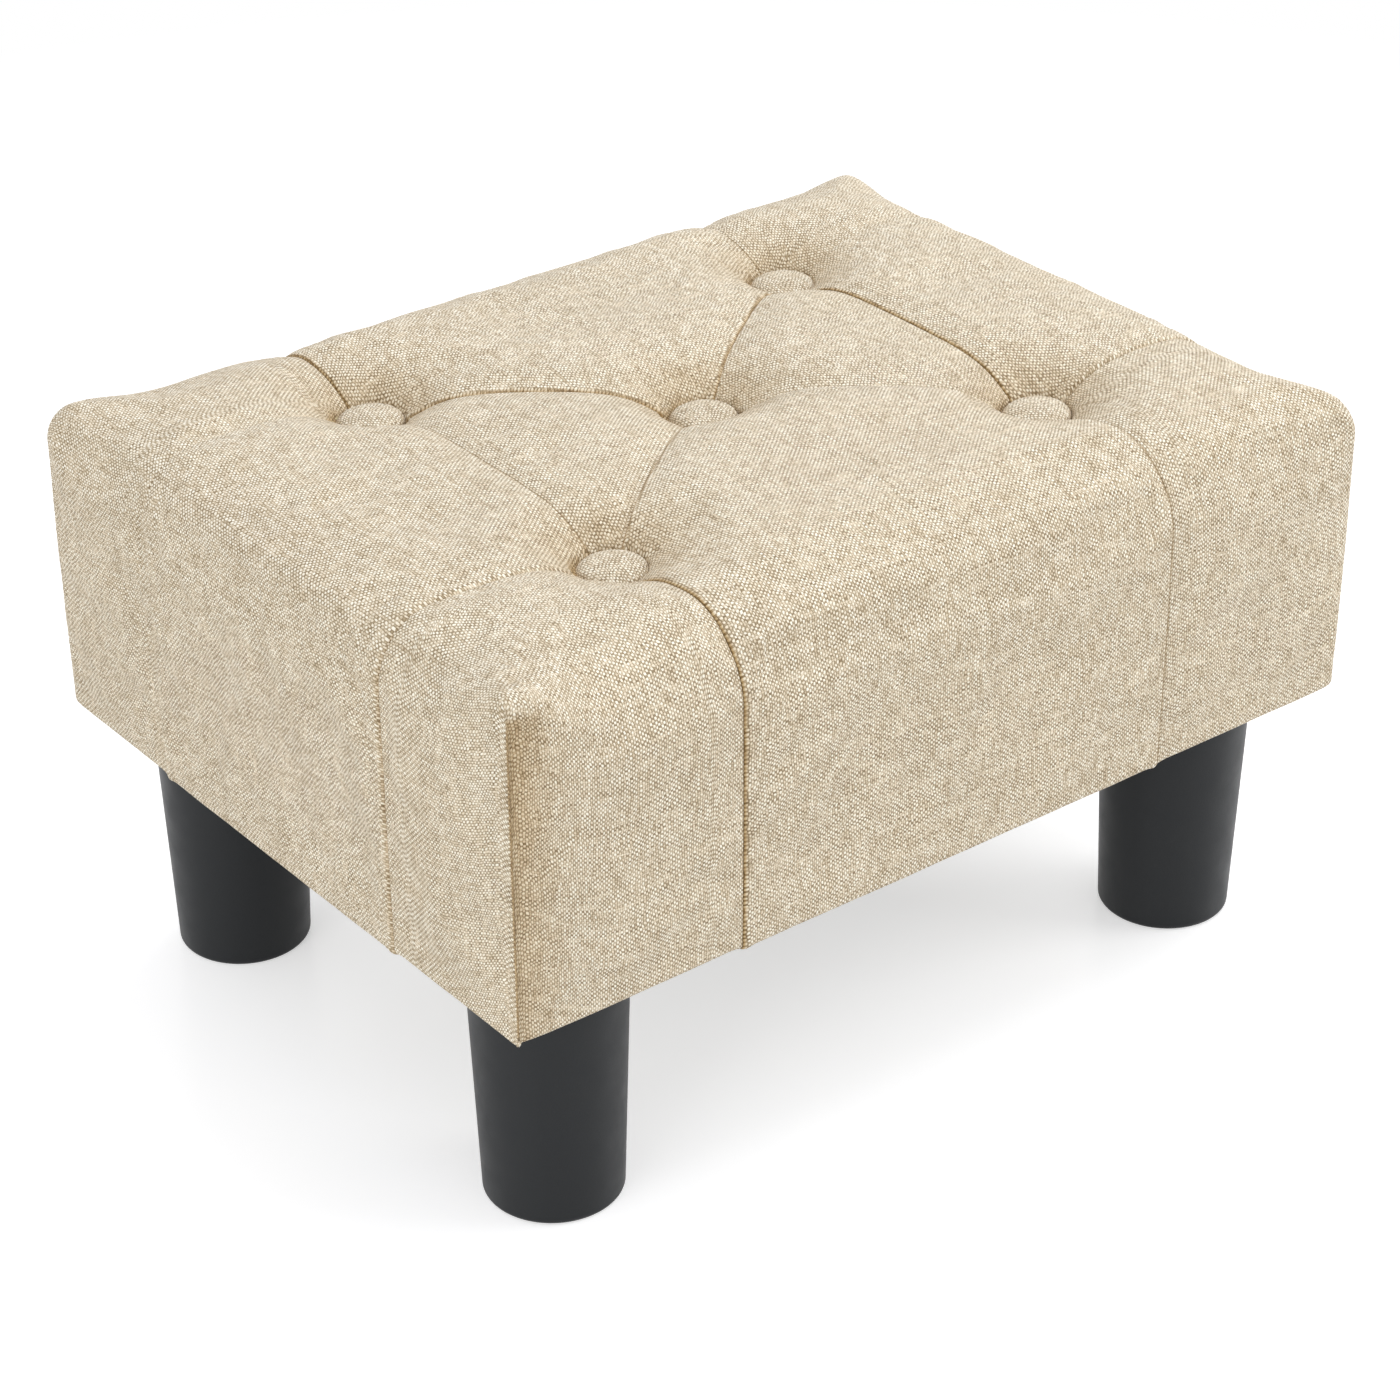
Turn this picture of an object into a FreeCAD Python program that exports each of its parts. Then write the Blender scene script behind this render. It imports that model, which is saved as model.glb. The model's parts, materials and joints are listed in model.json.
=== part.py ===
import FreeCAD, Part
import math
import os

# Upholstered footstool: a tufted pad on a wooden frame with four tapered plastic legs.
# Millimetres. +Z is up and +X runs along the long side.
# The origin is on the floor, under the middle of the stool.

# Overall plan and heights
cover_length = 400.0
cover_width = 304.0
leg_height = 106.0
pad_thickness = 52.0

# Cover: ten panels of fabric bonded to wadding, sewn together at the seams
fabric_thickness = 1.2
wadding_at_seams = 2.0
hem_width = 25.0
side_bulge = 3.5
bulge_height = 74.0
edge_radius = 22.0
pillow_rise = 4.5
pillow_reach = 12.0
edge_fall = 24.0
edge_fall_reach = 9.0
edge_fullness = 0.65
long_edge_fall = 4.0
surface_grid = 6.0
grid_margin = 2.0

# Buttons and the dimples that they pull into the pad
button_spacing_x = 201.0
button_spacing_y = 153.0
button_radius = 12.5
button_dome = 2.2
button_rim_height = 2.6
button_fabric = 0.6
button_shell_wall = 0.4
button_back_radius = 9.5
button_back_thickness = 1.0
eye_radius = 2.4
eye_wire_radius = 0.5
eye_sink = 1.2
dimple_depth = 30.0
dimple_reach = 19.4
dimple_floor_radius = 16.0

# Tufting twine, tied under the seat board
twine_radius = 0.6
twine_spread = 1.8
twine_bend = 2.0
twine_tail = 22.0
twine_staple_place = 13.0

# Foam
side_foam = 5.0
soft_gap = 0.3

# Wooden frame
rail_height = 72.0
rail_thickness = 15.0
board_thickness = 9.0
twine_hole_radius = 4.5
block_height = 30.0

# Legs and their studs
leg_inset = 45.5
leg_top_radius = 30.0
leg_foot_radius = 26.3
leg_wall = 3.0
leg_floor = 4.0
leg_foot_round = 2.5
leg_top_round = 1.0
boss_radius = 9.0
rib_thickness = 2.2
rib_drop = 1.5
stud_radius = 4.0
stud_in_leg = 38.0
stud_gap = 0.4
stud_end = 1.0
tee_flange_radius = 11.0
tee_flange_thickness = 1.6
tee_barrel_radius = 5.2
tee_barrel_length = 9.0

# Screws and staples
screw_radius = 2.0
screw_head_radius = 4.0
screw_head_height = 2.5
screw_tip = 4.0
rail_screw_length = 40.0
board_screw_length = 28.0
block_screw_length = 32.0
block_screw_offset = 11.0
staple_wire = 0.6
staple_crown = 10.0
staple_leg = 7.0
staple_pitch = 42.0
twine_staple_leg = 5.0
dust_thickness = 0.4
dust_edge_inset = 2.0
cover_staple_inset = 11.0
dust_staple_inset = 5.0

# Levels, from the floor up
dust_low = leg_height
hem_low = dust_low + dust_thickness
frame_low = hem_low + fabric_thickness
board_low = frame_low + rail_height
board_top = board_low + board_thickness
crown = board_top + pad_thickness
seam_crest = crown - pillow_rise

# Half sizes in plan, from the outside in
half_length = cover_length / 2
half_width = cover_width / 2
hem_half_length = half_length - side_bulge
hem_half_width = half_width - side_bulge
foam_half_length = hem_half_length - fabric_thickness - soft_gap
foam_half_width = hem_half_width - fabric_thickness - soft_gap
frame_half_length = foam_half_length - side_foam
frame_half_width = foam_half_width - side_foam
leg_x = half_length - leg_inset
leg_y = half_width - leg_inset
button_x = button_spacing_x / 2
button_y = button_spacing_y / 2
outside = 10.0

SIDES = (-1, 1)
LENGTH_NAMES = {-1: "left", 1: "right"}
WIDTH_NAMES = {-1: "front", 1: "rear"}
BUTTONS = [(sx * button_x, sy * button_y) for sx in SIDES for sy in SIDES] + [(0.0, 0.0)]

parts = {}


def vec(x, y, z):
    return FreeCAD.Vector(x, y, z)


def box(x0, x1, y0, y1, z0, z1):
    return Part.makeBox(x1 - x0, y1 - y0, z1 - z0, vec(x0, y0, z0))


def upright(radius, x, y, z0, z1):
    return Part.makeCylinder(radius, z1 - z0, vec(x, y, z0))


def as_solid(shape):
    """The one solid of a result, turned outwards."""
    solid = shape.Solids[0]
    if solid.Volume < 0:
        solid.reverse()
    return solid


def turned(profile):
    """A closed outline in the XZ plane, turned about the Z axis."""
    solid = Part.Face(Part.Wire(profile)).revolve(vec(0, 0, 0), vec(0, 0, 1), 360)
    return as_solid(Part.Solid(solid.Shells[0]))


def polyline(points):
    """Straight edges through points of the XZ plane."""
    corners = [vec(x, 0, z) for x, z in points]
    return [Part.LineSegment(a, b).toShape() for a, b in zip(corners, corners[1:])]


def arc(start, middle, end):
    """An arc through three points of the XZ plane."""
    a, b, c = [vec(x, 0, z) for x, z in (start, middle, end)]
    return Part.Arc(a, b, c).toShape()


def rounded_corner(centre_x, centre_z, radius, from_angle, to_angle):
    """A quarter round of an outline in the XZ plane, by its angles in degrees."""
    angles = [math.radians(a) for a in (from_angle, (from_angle + to_angle) / 2, to_angle)]
    return arc(*[(centre_x + radius * math.cos(a), centre_z + radius * math.sin(a)) for a in angles])


# Form of the pad

def side_outline(half, low, full, shoulder, bulge, radius):
    """Half of a padded cross-section, from the hem up its bulged side to the flat top."""
    side_radius = ((full - low) ** 2 + bulge ** 2) / (2 * bulge)
    rise = shoulder - full
    shoulder_x = half - side_radius + math.sqrt(side_radius ** 2 - rise ** 2)
    side = arc((half - bulge, low), (half, full), (shoulder_x, shoulder))
    roll = rounded_corner(shoulder_x - radius, shoulder, radius, 0, 90)
    return [side, roll], shoulder_x - radius


def flat_side_outline(half, low, shoulder, radius):
    """Half of a cross-section with upright sides and a rounded top edge."""
    side = Part.LineSegment(vec(half, 0, low), vec(half, 0, shoulder)).toShape()
    roll = rounded_corner(half - radius, shoulder, radius, 0, 90)
    return [side, roll], half - radius


def block_from_outline(right_edges, flat_end, half, low, top, reach, along_y):
    """A bar with the given cross-section, run along one axis of the plan."""
    mirrored = [edge.mirror(vec(0, 0, 0), vec(1, 0, 0)) for edge in right_edges]
    top_edge = Part.LineSegment(vec(-flat_end, 0, top), vec(flat_end, 0, top)).toShape()
    low_edge = Part.LineSegment(vec(-half, 0, low), vec(half, 0, low)).toShape()
    wire = Part.Wire(Part.__sortEdges__(right_edges + mirrored + [top_edge, low_edge]))
    face = Part.Face(wire)
    face.translate(vec(0, -reach, 0))
    bar = face.extrude(vec(0, 2 * reach, 0))
    if not along_y:
        bar.rotate(vec(0, 0, 0), vec(0, 0, 1), 90)
    return as_solid(bar)


def padded_block():
    """The outside of the cover before its top is shaped: bulged sides and rounded edges."""
    full = hem_low + bulge_height
    shoulder = crown - edge_radius
    bars = []
    for half, reach, along_y in ((half_length, half_width, True), (half_width, half_length, False)):
        edges, flat_end = side_outline(half, hem_low, full, shoulder, side_bulge, edge_radius)
        bars.append(block_from_outline(
            edges, flat_end, half - side_bulge, hem_low, crown, reach + outside, along_y))
    return as_solid(bars[0].common(bars[1]))


def foam_block(grow, low):
    """The foam's outside before its top is shaped, grown by a clearance."""
    top = crown - pillow_rise
    radius = edge_radius - side_foam
    shoulder = top - radius
    bars = []
    for half, reach, along_y in (
            (foam_half_length + grow, foam_half_width, True),
            (foam_half_width + grow, foam_half_length, False)):
        edges, flat_end = flat_side_outline(half, low, shoulder, radius)
        bars.append(block_from_outline(edges, flat_end, half, low, top, reach + outside, along_y))
    return as_solid(bars[0].common(bars[1]))


def edge_drop(x, y):
    """How far a seam has rolled down near the edges of the plan."""
    to_end = half_length - abs(x)
    to_side = half_width - abs(y)
    roll = edge_fall * (math.exp(-to_end / edge_fall_reach) + math.exp(-to_side / edge_fall_reach))
    return roll + long_edge_fall * (y / half_width) ** 4


def seam_level(x, y):
    """Height of a seam away from the edges: level, with a dimple at each button."""
    height = seam_crest
    for bx, by in BUTTONS:
        distance = math.hypot(x - bx, y - by)
        blunt = (distance ** 4 + dimple_floor_radius ** 4) ** 0.25
        height -= dimple_depth * math.exp(-(blunt / dimple_reach) ** 1.5)
    return height


def spread(low, high):
    """Evenly spaced values from low to high, about a grid step apart."""
    count = max(4, int(round((high - low) / surface_grid)) + 1)
    return [low + (high - low) * i / (count - 1) for i in range(count)]


def body_under(height, x0, x1, y0, y1):
    """The solid under a height field, down to below the hem."""
    rows = [[vec(x, y, height(x, y)) for y in spread(y0, y1)] for x in spread(x0, x1)]
    surface = Part.BSplineSurface()
    surface.interpolate(rows)
    return as_solid(surface.toShape().extrude(vec(0, 0, -(crown - hem_low + outside))))


# Cover panels

def prism(corners):
    """An upright prism on a plan outline, taller than the pad."""
    points = [vec(x, y, hem_low - outside) for x, y in corners]
    face = Part.Face(Part.makePolygon(points + points[:1]))
    return as_solid(face.extrude(vec(0, 0, crown - hem_low + 2 * outside)))


def seam_lines(corners):
    """The sides of a plan outline that are seams, as a point and an inward normal."""
    middle_x = sum(x for x, y in corners) / len(corners)
    middle_y = sum(y for x, y in corners) / len(corners)
    lines = []
    for (x0, y0), (x1, y1) in zip(corners, corners[1:] + corners[:1]):
        on_end = abs(x0 + x1) / 2 > half_length
        on_side = abs(y0 + y1) / 2 > half_width
        if on_end or on_side:
            continue
        length = math.hypot(x1 - x0, y1 - y0)
        nx, ny = -(y1 - y0) / length, (x1 - x0) / length
        if (middle_x - x0) * nx + (middle_y - y0) * ny < 0:
            nx, ny = -nx, -ny
        lines.append((x0, y0, nx, ny))
    return lines


def pillow_height(lines):
    """The height field of one panel: seam level at its seams, puffed between them."""
    def height(x, y):
        fullness = 1.0
        for x0, y0, nx, ny in lines:
            fullness *= math.tanh(((x - x0) * nx + (y - y0) * ny) / pillow_reach)
        drop = edge_drop(x, y) * (1 - edge_fullness * fullness)
        return seam_level(x, y) - drop + pillow_rise * fullness
    return height


def clip(value, limit):
    return max(-limit, min(limit, value))


def cover_panel(corners, blank, inner):
    """One panel: from its puffed face to the foam, with its share of the hem."""
    limit_x = half_length + grid_margin
    limit_y = half_width + grid_margin
    xs = [clip(x + side * grid_margin, limit_x) for x, y in corners for side in SIDES]
    ys = [clip(y + side * grid_margin, limit_y) for x, y in corners for side in SIDES]
    puffed = body_under(pillow_height(seam_lines(corners)), min(xs), max(xs), min(ys), max(ys))
    return as_solid(blank.common(prism(corners)).common(puffed).cut(inner))


def panel_outlines():
    """Plan outlines of the ten panels, by node name."""
    far_x = half_length + outside
    far_y = half_width + outside
    outlines = {}
    for sx in SIDES:
        inner_x, outer_x = sx * button_x, sx * far_x
        outlines["cover_%s_triangle" % LENGTH_NAMES[sx]] = [
            (0.0, 0.0), (inner_x, -button_y), (inner_x, button_y)]
        outlines["cover_%s_end" % LENGTH_NAMES[sx]] = [
            (inner_x, -button_y), (outer_x, -button_y), (outer_x, button_y), (inner_x, button_y)]
        for sy in SIDES:
            inner_y, outer_y = sy * button_y, sy * far_y
            name = "cover_corner_%s_%s" % (WIDTH_NAMES[sy], LENGTH_NAMES[sx])
            outlines[name] = [
                (inner_x, inner_y), (outer_x, inner_y), (outer_x, outer_y), (inner_x, outer_y)]
    for sy in SIDES:
        inner_y, outer_y = sy * button_y, sy * far_y
        outlines["cover_" + WIDTH_NAMES[sy]] = [
            (0.0, 0.0), (-button_x, inner_y), (-button_x, outer_y),
            (button_x, outer_y), (button_x, inner_y)]
    return outlines


# Frame

def screw(length, place, direction):
    """A countersunk wood screw with its head flush at a place, driven along a direction."""
    start = vec(*place)
    aim = vec(*direction)
    shank_end = length - screw_tip
    head = Part.makeCone(screw_head_radius, screw_radius, screw_head_height, start, aim)
    shank = Part.makeCylinder(screw_radius, shank_end - screw_head_height,
                              start + aim * screw_head_height, aim)
    tip = Part.makeCone(screw_radius, 0, screw_tip, start + aim * shank_end, aim)
    return head.fuse(shank).fuse(tip).removeSplitter()


def rail_screw_set():
    """Through the long rails into the ends of the short rails, two at each corner."""
    x = frame_half_length - rail_thickness / 2
    heights = [frame_low + rail_height * share for share in (0.3, 0.75)]
    return [screw(rail_screw_length, (sx * x, sy * frame_half_width, z), (0, -sy, 0))
            for sx in SIDES for sy in SIDES for z in heights]


def board_screw_set():
    """Down through the seat board into the rails."""
    long_line = frame_half_width - rail_thickness / 2
    short_line = frame_half_length - rail_thickness / 2
    places = [(share * leg_x, sy * long_line) for share in (-0.85, 0, 0.85) for sy in SIDES]
    places += [(sx * short_line, share * leg_y) for share in (-0.5, 0.5) for sx in SIDES]
    return [screw(board_screw_length, (x, y, board_top), (0, 0, -1)) for x, y in places]


def block_screw_set():
    """Through the rails into each corner block, one from each side, clear of the stud."""
    screws = []
    for sx in SIDES:
        for sy in SIDES:
            x = sx * (leg_x - block_screw_offset)
            y = sy * (leg_y - block_screw_offset)
            screws.append(screw(block_screw_length, (x, sy * frame_half_width,
                                frame_low + block_height * 0.3), (0, -sy, 0)))
            screws.append(screw(block_screw_length, (sx * frame_half_length, y,
                                frame_low + block_height * 0.7), (-sx, 0, 0)))
    return screws


def corner_block(sx, sy):
    """A block in a corner of the frame, centred on its leg, bored for stud and tee nut."""
    inner_x = frame_half_length - rail_thickness
    inner_y = frame_half_width - rail_thickness
    reach_x = inner_x - leg_x
    reach_y = inner_y - leg_y
    cx, cy = sx * leg_x, sy * leg_y
    top = frame_low + block_height
    block = box(cx - reach_x, cx + reach_x, cy - reach_y, cy + reach_y, frame_low, top)
    block = block.cut(upright(stud_radius + stud_gap, cx, cy, frame_low, top))
    return block.cut(upright(tee_barrel_radius, cx, cy, top - tee_barrel_length, top))


def tee_nut(cx, cy):
    """A flange on the block and a threaded barrel in its bore."""
    top = frame_low + block_height
    flange = upright(tee_flange_radius, cx, cy, top, top + tee_flange_thickness)
    barrel = upright(tee_barrel_radius, cx, cy, top - tee_barrel_length, top)
    nut = flange.fuse(barrel)
    bore = upright(stud_radius, cx, cy, top - tee_barrel_length, top + tee_flange_thickness)
    return nut.cut(bore).removeSplitter()


# Legs

def leg_outline():
    """Half section of the hollow leg with its central boss and stud socket."""
    slope = (leg_top_radius - leg_foot_radius) / leg_height
    lean = math.atan(slope)
    foot_centre_x = leg_foot_radius - leg_foot_round / math.cos(lean) + leg_foot_round * math.tan(lean)
    top_corner = leg_top_radius - slope * leg_top_round
    inner_foot = leg_foot_radius + slope * leg_floor - leg_wall
    inner_top = leg_top_radius - leg_wall
    socket_low = leg_height - stud_in_leg
    foot = rounded_corner(foot_centre_x, leg_foot_round, leg_foot_round,
                          -90, -math.degrees(lean))
    foot_end = (foot_centre_x + leg_foot_round * math.cos(lean),
                leg_foot_round - leg_foot_round * math.sin(lean))
    edges = polyline([(0, 0), (foot_centre_x, 0)]) + [foot]
    edges += polyline([foot_end, (top_corner, leg_height - leg_top_round),
                       (leg_top_radius - leg_top_round, leg_height),
                       (inner_top, leg_height), (inner_foot, leg_floor), (boss_radius, leg_floor),
                       (boss_radius, leg_height), (stud_radius, leg_height),
                       (stud_radius, socket_low), (0, socket_low), (0, 0)])
    return edges


def leg(cx, cy):
    """A tapered leg: a hollow shell, a boss for the stud and four ribs between them."""
    body = turned(leg_outline())
    rib_top = leg_height - rib_drop
    ribs = []
    for angle in (0, 90):
        rib = box(-leg_top_radius, leg_top_radius, -rib_thickness / 2, rib_thickness / 2,
                  leg_floor, rib_top)
        rib.rotate(vec(0, 0, 0), vec(0, 0, 1), angle)
        ribs.append(rib)
    middle_wall = leg_wall / 2
    inside = Part.makeCone(leg_foot_radius - middle_wall, leg_top_radius - middle_wall, leg_height)
    ribs = ribs[0].fuse(ribs[1]).common(inside).cut(upright(boss_radius - 1, 0, 0, 0, leg_height))
    whole = body.fuse(ribs).removeSplitter()
    whole.translate(vec(cx, cy, 0))
    return as_solid(whole)


def leg_stud(cx, cy):
    """The threaded stud, moulded into the leg and screwed up through the tee nut."""
    low = leg_height - stud_in_leg
    top = frame_low + block_height + tee_flange_thickness + stud_end
    rod = upright(stud_radius, cx, cy, low, top - stud_end)
    end = Part.makeCone(stud_radius, stud_radius - stud_end, stud_end, vec(cx, cy, top - stud_end))
    return rod.fuse(end).removeSplitter()


# Buttons and twine

button_seat = seam_crest - dimple_depth * math.exp(-(dimple_floor_radius / dimple_reach) ** 1.5)
button_low = button_seat + soft_gap
back_low = button_low + button_fabric


def dome_cap(radius, low, rim, rise):
    """A solid cap: an upright rim under a shallow dome."""
    sphere_radius = (radius ** 2 + rise ** 2) / (2 * rise)
    top = low + rim + rise
    mid_x = radius / 2
    mid_z = top - sphere_radius + math.sqrt(sphere_radius ** 2 - mid_x ** 2)
    edges = polyline([(0, top), (0, low), (radius, low), (radius, low + rim)])
    return turned(edges + [arc((radius, low + rim), (mid_x, mid_z), (0, top))])


def button_pieces(cx, cy):
    """The fabric, shell and back of one covered button."""
    fabric_out = dome_cap(button_radius, button_low, button_rim_height, button_dome)
    shell_radius = button_radius - button_fabric
    shell_out = dome_cap(shell_radius, back_low, button_rim_height - button_fabric, button_dome - 0.2)
    inner_radius = shell_radius - button_shell_wall
    back_top = back_low + button_back_thickness
    shell_in = dome_cap(inner_radius, back_top,
                        button_rim_height - button_fabric - button_back_thickness, button_dome - 0.5)
    back = upright(button_back_radius, 0, 0, back_low, back_top)
    fabric = fabric_out.cut(shell_out).cut(upright(button_back_radius, 0, 0, button_low, back_low))
    shell = shell_out.cut(shell_in).cut(back)
    eye = Part.makeTorus(eye_radius, eye_wire_radius, vec(0, 0, back_low - eye_sink), vec(1, 0, 0))
    above = box(-eye_radius * 2, eye_radius * 2, -eye_radius * 2, eye_radius * 2,
                back_low + button_back_thickness / 2, crown)
    back = back.fuse(eye.cut(above)).removeSplitter()
    pieces = [fabric, shell, back]
    for piece in pieces:
        piece.translate(vec(cx, cy, 0))
    return pieces


def twine(cx, cy):
    """A loop through the button's eye, down through foam and board, its tails laid flat."""
    eye_low = back_low - eye_sink - eye_radius
    loop_top = eye_low + eye_wire_radius + twine_radius + soft_gap / 3
    loop_centre = loop_top - twine_spread
    run = board_low - twine_radius
    corner_z = run + twine_bend
    bend_x = twine_spread + twine_bend
    diagonal = twine_bend * (1 - math.cos(math.radians(45)))
    tail_end = bend_x + twine_tail

    def tail(side):
        start = (side * twine_spread, corner_z)
        middle = (side * (twine_spread + diagonal), run + diagonal)
        end = (side * bend_x, run)
        return arc(start, middle, end), start, end

    left_arc, left_start, left_end = tail(-1)
    right_arc, right_start, right_end = tail(1)
    edges = polyline([(-tail_end, run), left_end]) + [left_arc]
    edges += polyline([left_start, (-twine_spread, loop_centre)])
    edges.append(arc((-twine_spread, loop_centre), (0, loop_top), (twine_spread, loop_centre)))
    edges += polyline([(twine_spread, loop_centre), right_start]) + [right_arc]
    edges += polyline([right_end, (tail_end, run)])
    path = Part.Wire(edges)
    section = Part.Wire(Part.makeCircle(twine_radius, vec(-tail_end, 0, run), vec(1, 0, 0)))
    cord = as_solid(path.makePipeShell([section], True, True))
    cord.translate(vec(cx, cy, 0))
    return cord


# Staples

def staple(cx, cy, crown_low, leg_top, crown_width, along_x):
    """A wire staple driven upwards: a crown and two legs."""
    half = crown_width / 2
    thick = staple_wire / 2
    bar = box(-half, half, -thick, thick, crown_low, crown_low + staple_wire)
    for side in SIDES:
        x = side * (half - thick)
        bar = bar.fuse(box(x - thick, x + thick, -thick, thick, crown_low, leg_top))
    bar = bar.removeSplitter()
    if not along_x:
        bar.rotate(vec(0, 0, 0), vec(0, 0, 1), 90)
    bar.translate(vec(cx, cy, 0))
    return bar


def places_along(reach, pitch):
    """Evenly spaced places between minus reach and reach, about a pitch apart."""
    gaps = max(1, int(round(2 * reach / pitch)))
    return [-reach + 2 * reach * i / gaps for i in range(gaps + 1)]


def staple_ring(inset, reach_x, reach_y, crown_low):
    """Staples along the underside of the four rails."""
    leg_top = crown_low + staple_wire + staple_leg
    ring = []
    for side in SIDES:
        line_y = side * (frame_half_width - inset)
        line_x = side * (frame_half_length - inset)
        ring += [staple(x, line_y, crown_low, leg_top, staple_crown, True)
                 for x in places_along(reach_x, staple_pitch)]
        ring += [staple(line_x, y, crown_low, leg_top, staple_crown, False)
                 for y in places_along(reach_y, staple_pitch)]
    return ring


# The pieces, from the inside out

rail_screws = rail_screw_set()
board_screws = board_screw_set()
block_screws = block_screw_set()
clear_of_leg = leg_top_radius + staple_crown
dust_staples = staple_ring(dust_staple_inset, leg_x - clear_of_leg, leg_y - clear_of_leg,
                           dust_low - staple_wire)
cover_staples = staple_ring(cover_staple_inset, frame_half_length - 2 * rail_thickness,
                            frame_half_width - 2 * rail_thickness, hem_low)
twine_run_low = board_low - 2 * twine_radius - staple_wire
twine_staples = [
    staple(bx + side * twine_staple_place, by, twine_run_low, board_low + twine_staple_leg,
           staple_crown * 0.7, False)
    for bx, by in BUTTONS for side in SIDES]

fasteners = Part.makeCompound(rail_screws + board_screws + block_screws + dust_staples
                              + cover_staples + twine_staples)


def bored(piece):
    """A wooden piece with the room that its fasteners take."""
    return as_solid(piece.cut(fasteners))


inner_half_length = frame_half_length - rail_thickness
inner_half_width = frame_half_width - rail_thickness

seat_board = box(-frame_half_length, frame_half_length, -frame_half_width, frame_half_width,
                 board_low, board_top)
for bx, by in BUTTONS:
    seat_board = seat_board.cut(upright(twine_hole_radius, bx, by, board_low, board_top))
parts["seat_board"] = bored(seat_board)

for side in SIDES:
    ys = sorted((side * inner_half_width, side * frame_half_width))
    parts[WIDTH_NAMES[side] + "_rail"] = bored(
        box(-frame_half_length, frame_half_length, ys[0], ys[1], frame_low, board_low))
    xs = sorted((side * inner_half_length, side * frame_half_length))
    parts[LENGTH_NAMES[side] + "_rail"] = bored(
        box(xs[0], xs[1], -inner_half_width, inner_half_width, frame_low, board_low))

corners = [(sx, sy) for sx in SIDES for sy in SIDES]
for sx, sy in corners:
    corner_name = "%s_%s" % (WIDTH_NAMES[sy], LENGTH_NAMES[sx])
    cx, cy = sx * leg_x, sy * leg_y
    parts["corner_block_" + corner_name] = bored(corner_block(sx, sy))
    parts["leg_" + corner_name] = leg(cx, cy)
    parts["leg_stud_" + corner_name] = leg_stud(cx, cy)

parts["tee_nuts"] = Part.makeCompound([tee_nut(sx * leg_x, sy * leg_y) for sx, sy in corners])
parts["rail_screws"] = Part.makeCompound(rail_screws)
parts["board_screws"] = Part.makeCompound(board_screws)
parts["block_screws"] = Part.makeCompound(block_screws)

# Foam on the outside of the rails
for side in SIDES:
    ys = sorted((side * frame_half_width, side * foam_half_width))
    parts[WIDTH_NAMES[side] + "_side_foam"] = box(
        -foam_half_length, foam_half_length, ys[0], ys[1], frame_low, board_top)
    xs = sorted((side * frame_half_length, side * foam_half_length))
    parts[LENGTH_NAMES[side] + "_side_foam"] = box(
        xs[0], xs[1], -frame_half_width, frame_half_width, frame_low, board_top)

# Foam on the seat board, dimpled where the buttons pull it down
channel_radius = eye_radius + eye_wire_radius + soft_gap
channels = Part.makeCompound([upright(channel_radius, bx, by, board_top - outside, crown)
                              for bx, by in BUTTONS])


def foam_level(x, y):
    return seam_level(x, y) - edge_drop(x, y) - wadding_at_seams


field = body_under(foam_level, -half_length, half_length, -half_width, half_width)
inner = foam_block(soft_gap, frame_low).common(field)
lowered = field.copy()
lowered.translate(vec(0, 0, -soft_gap))
parts["seat_foam"] = as_solid(foam_block(0, board_top).common(lowered).cut(channels))

# Cover
hem_opening = box(-hem_half_length + hem_width, hem_half_length - hem_width,
                  -hem_half_width + hem_width, hem_half_width - hem_width, hem_low, frame_low)
button_room = Part.makeCompound([upright(button_radius + soft_gap, bx, by, button_seat, crown)
                                 for bx, by in BUTTONS])
cover_blank = padded_block()
for room in (hem_opening, button_room, channels, Part.makeCompound(cover_staples + dust_staples)):
    cover_blank = cover_blank.cut(room)
for name, outline in panel_outlines().items():
    parts[name] = cover_panel(outline, cover_blank, inner)

# Buttons, twine and staples
backs = []
twines = []
button_names = ["front_left", "rear_left", "front_right", "rear_right", "middle"]
for name, (bx, by) in zip(button_names, BUTTONS):
    fabric, shell, back = button_pieces(bx, by)
    parts["button_cover_" + name] = fabric
    parts["button_shell_" + name] = shell
    backs.append(back)
    twines.append(twine(bx, by))
parts["button_backs"] = Part.makeCompound(backs)
parts["tufting_twines"] = Part.makeCompound(twines)
parts["twine_staples"] = Part.makeCompound(twine_staples)
parts["cover_staples"] = Part.makeCompound(cover_staples)

dust_half_length = frame_half_length - dust_edge_inset
dust_half_width = frame_half_width - dust_edge_inset
dust_cover = box(-dust_half_length, dust_half_length, -dust_half_width, dust_half_width,
                 dust_low, hem_low)
for sx, sy in corners:
    dust_cover = dust_cover.cut(upright(stud_radius + stud_gap, sx * leg_x, sy * leg_y,
                                        dust_low, hem_low))
parts["dust_cover"] = as_solid(dust_cover.cut(Part.makeCompound(dust_staples)))
parts["dust_cover_staples"] = Part.makeCompound(dust_staples)

os.makedirs("parts", exist_ok=True)
for name, shape in parts.items():
    shape.exportStep("parts/%s.step" % name)
    print("%-28s solids %3d  volume %10.1f  valid %s"
          % (name, len(shape.Solids), shape.Volume, shape.isValid()))
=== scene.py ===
import json
import math

import bpy
import numpy as np
from mathutils import Matrix, Vector


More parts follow.
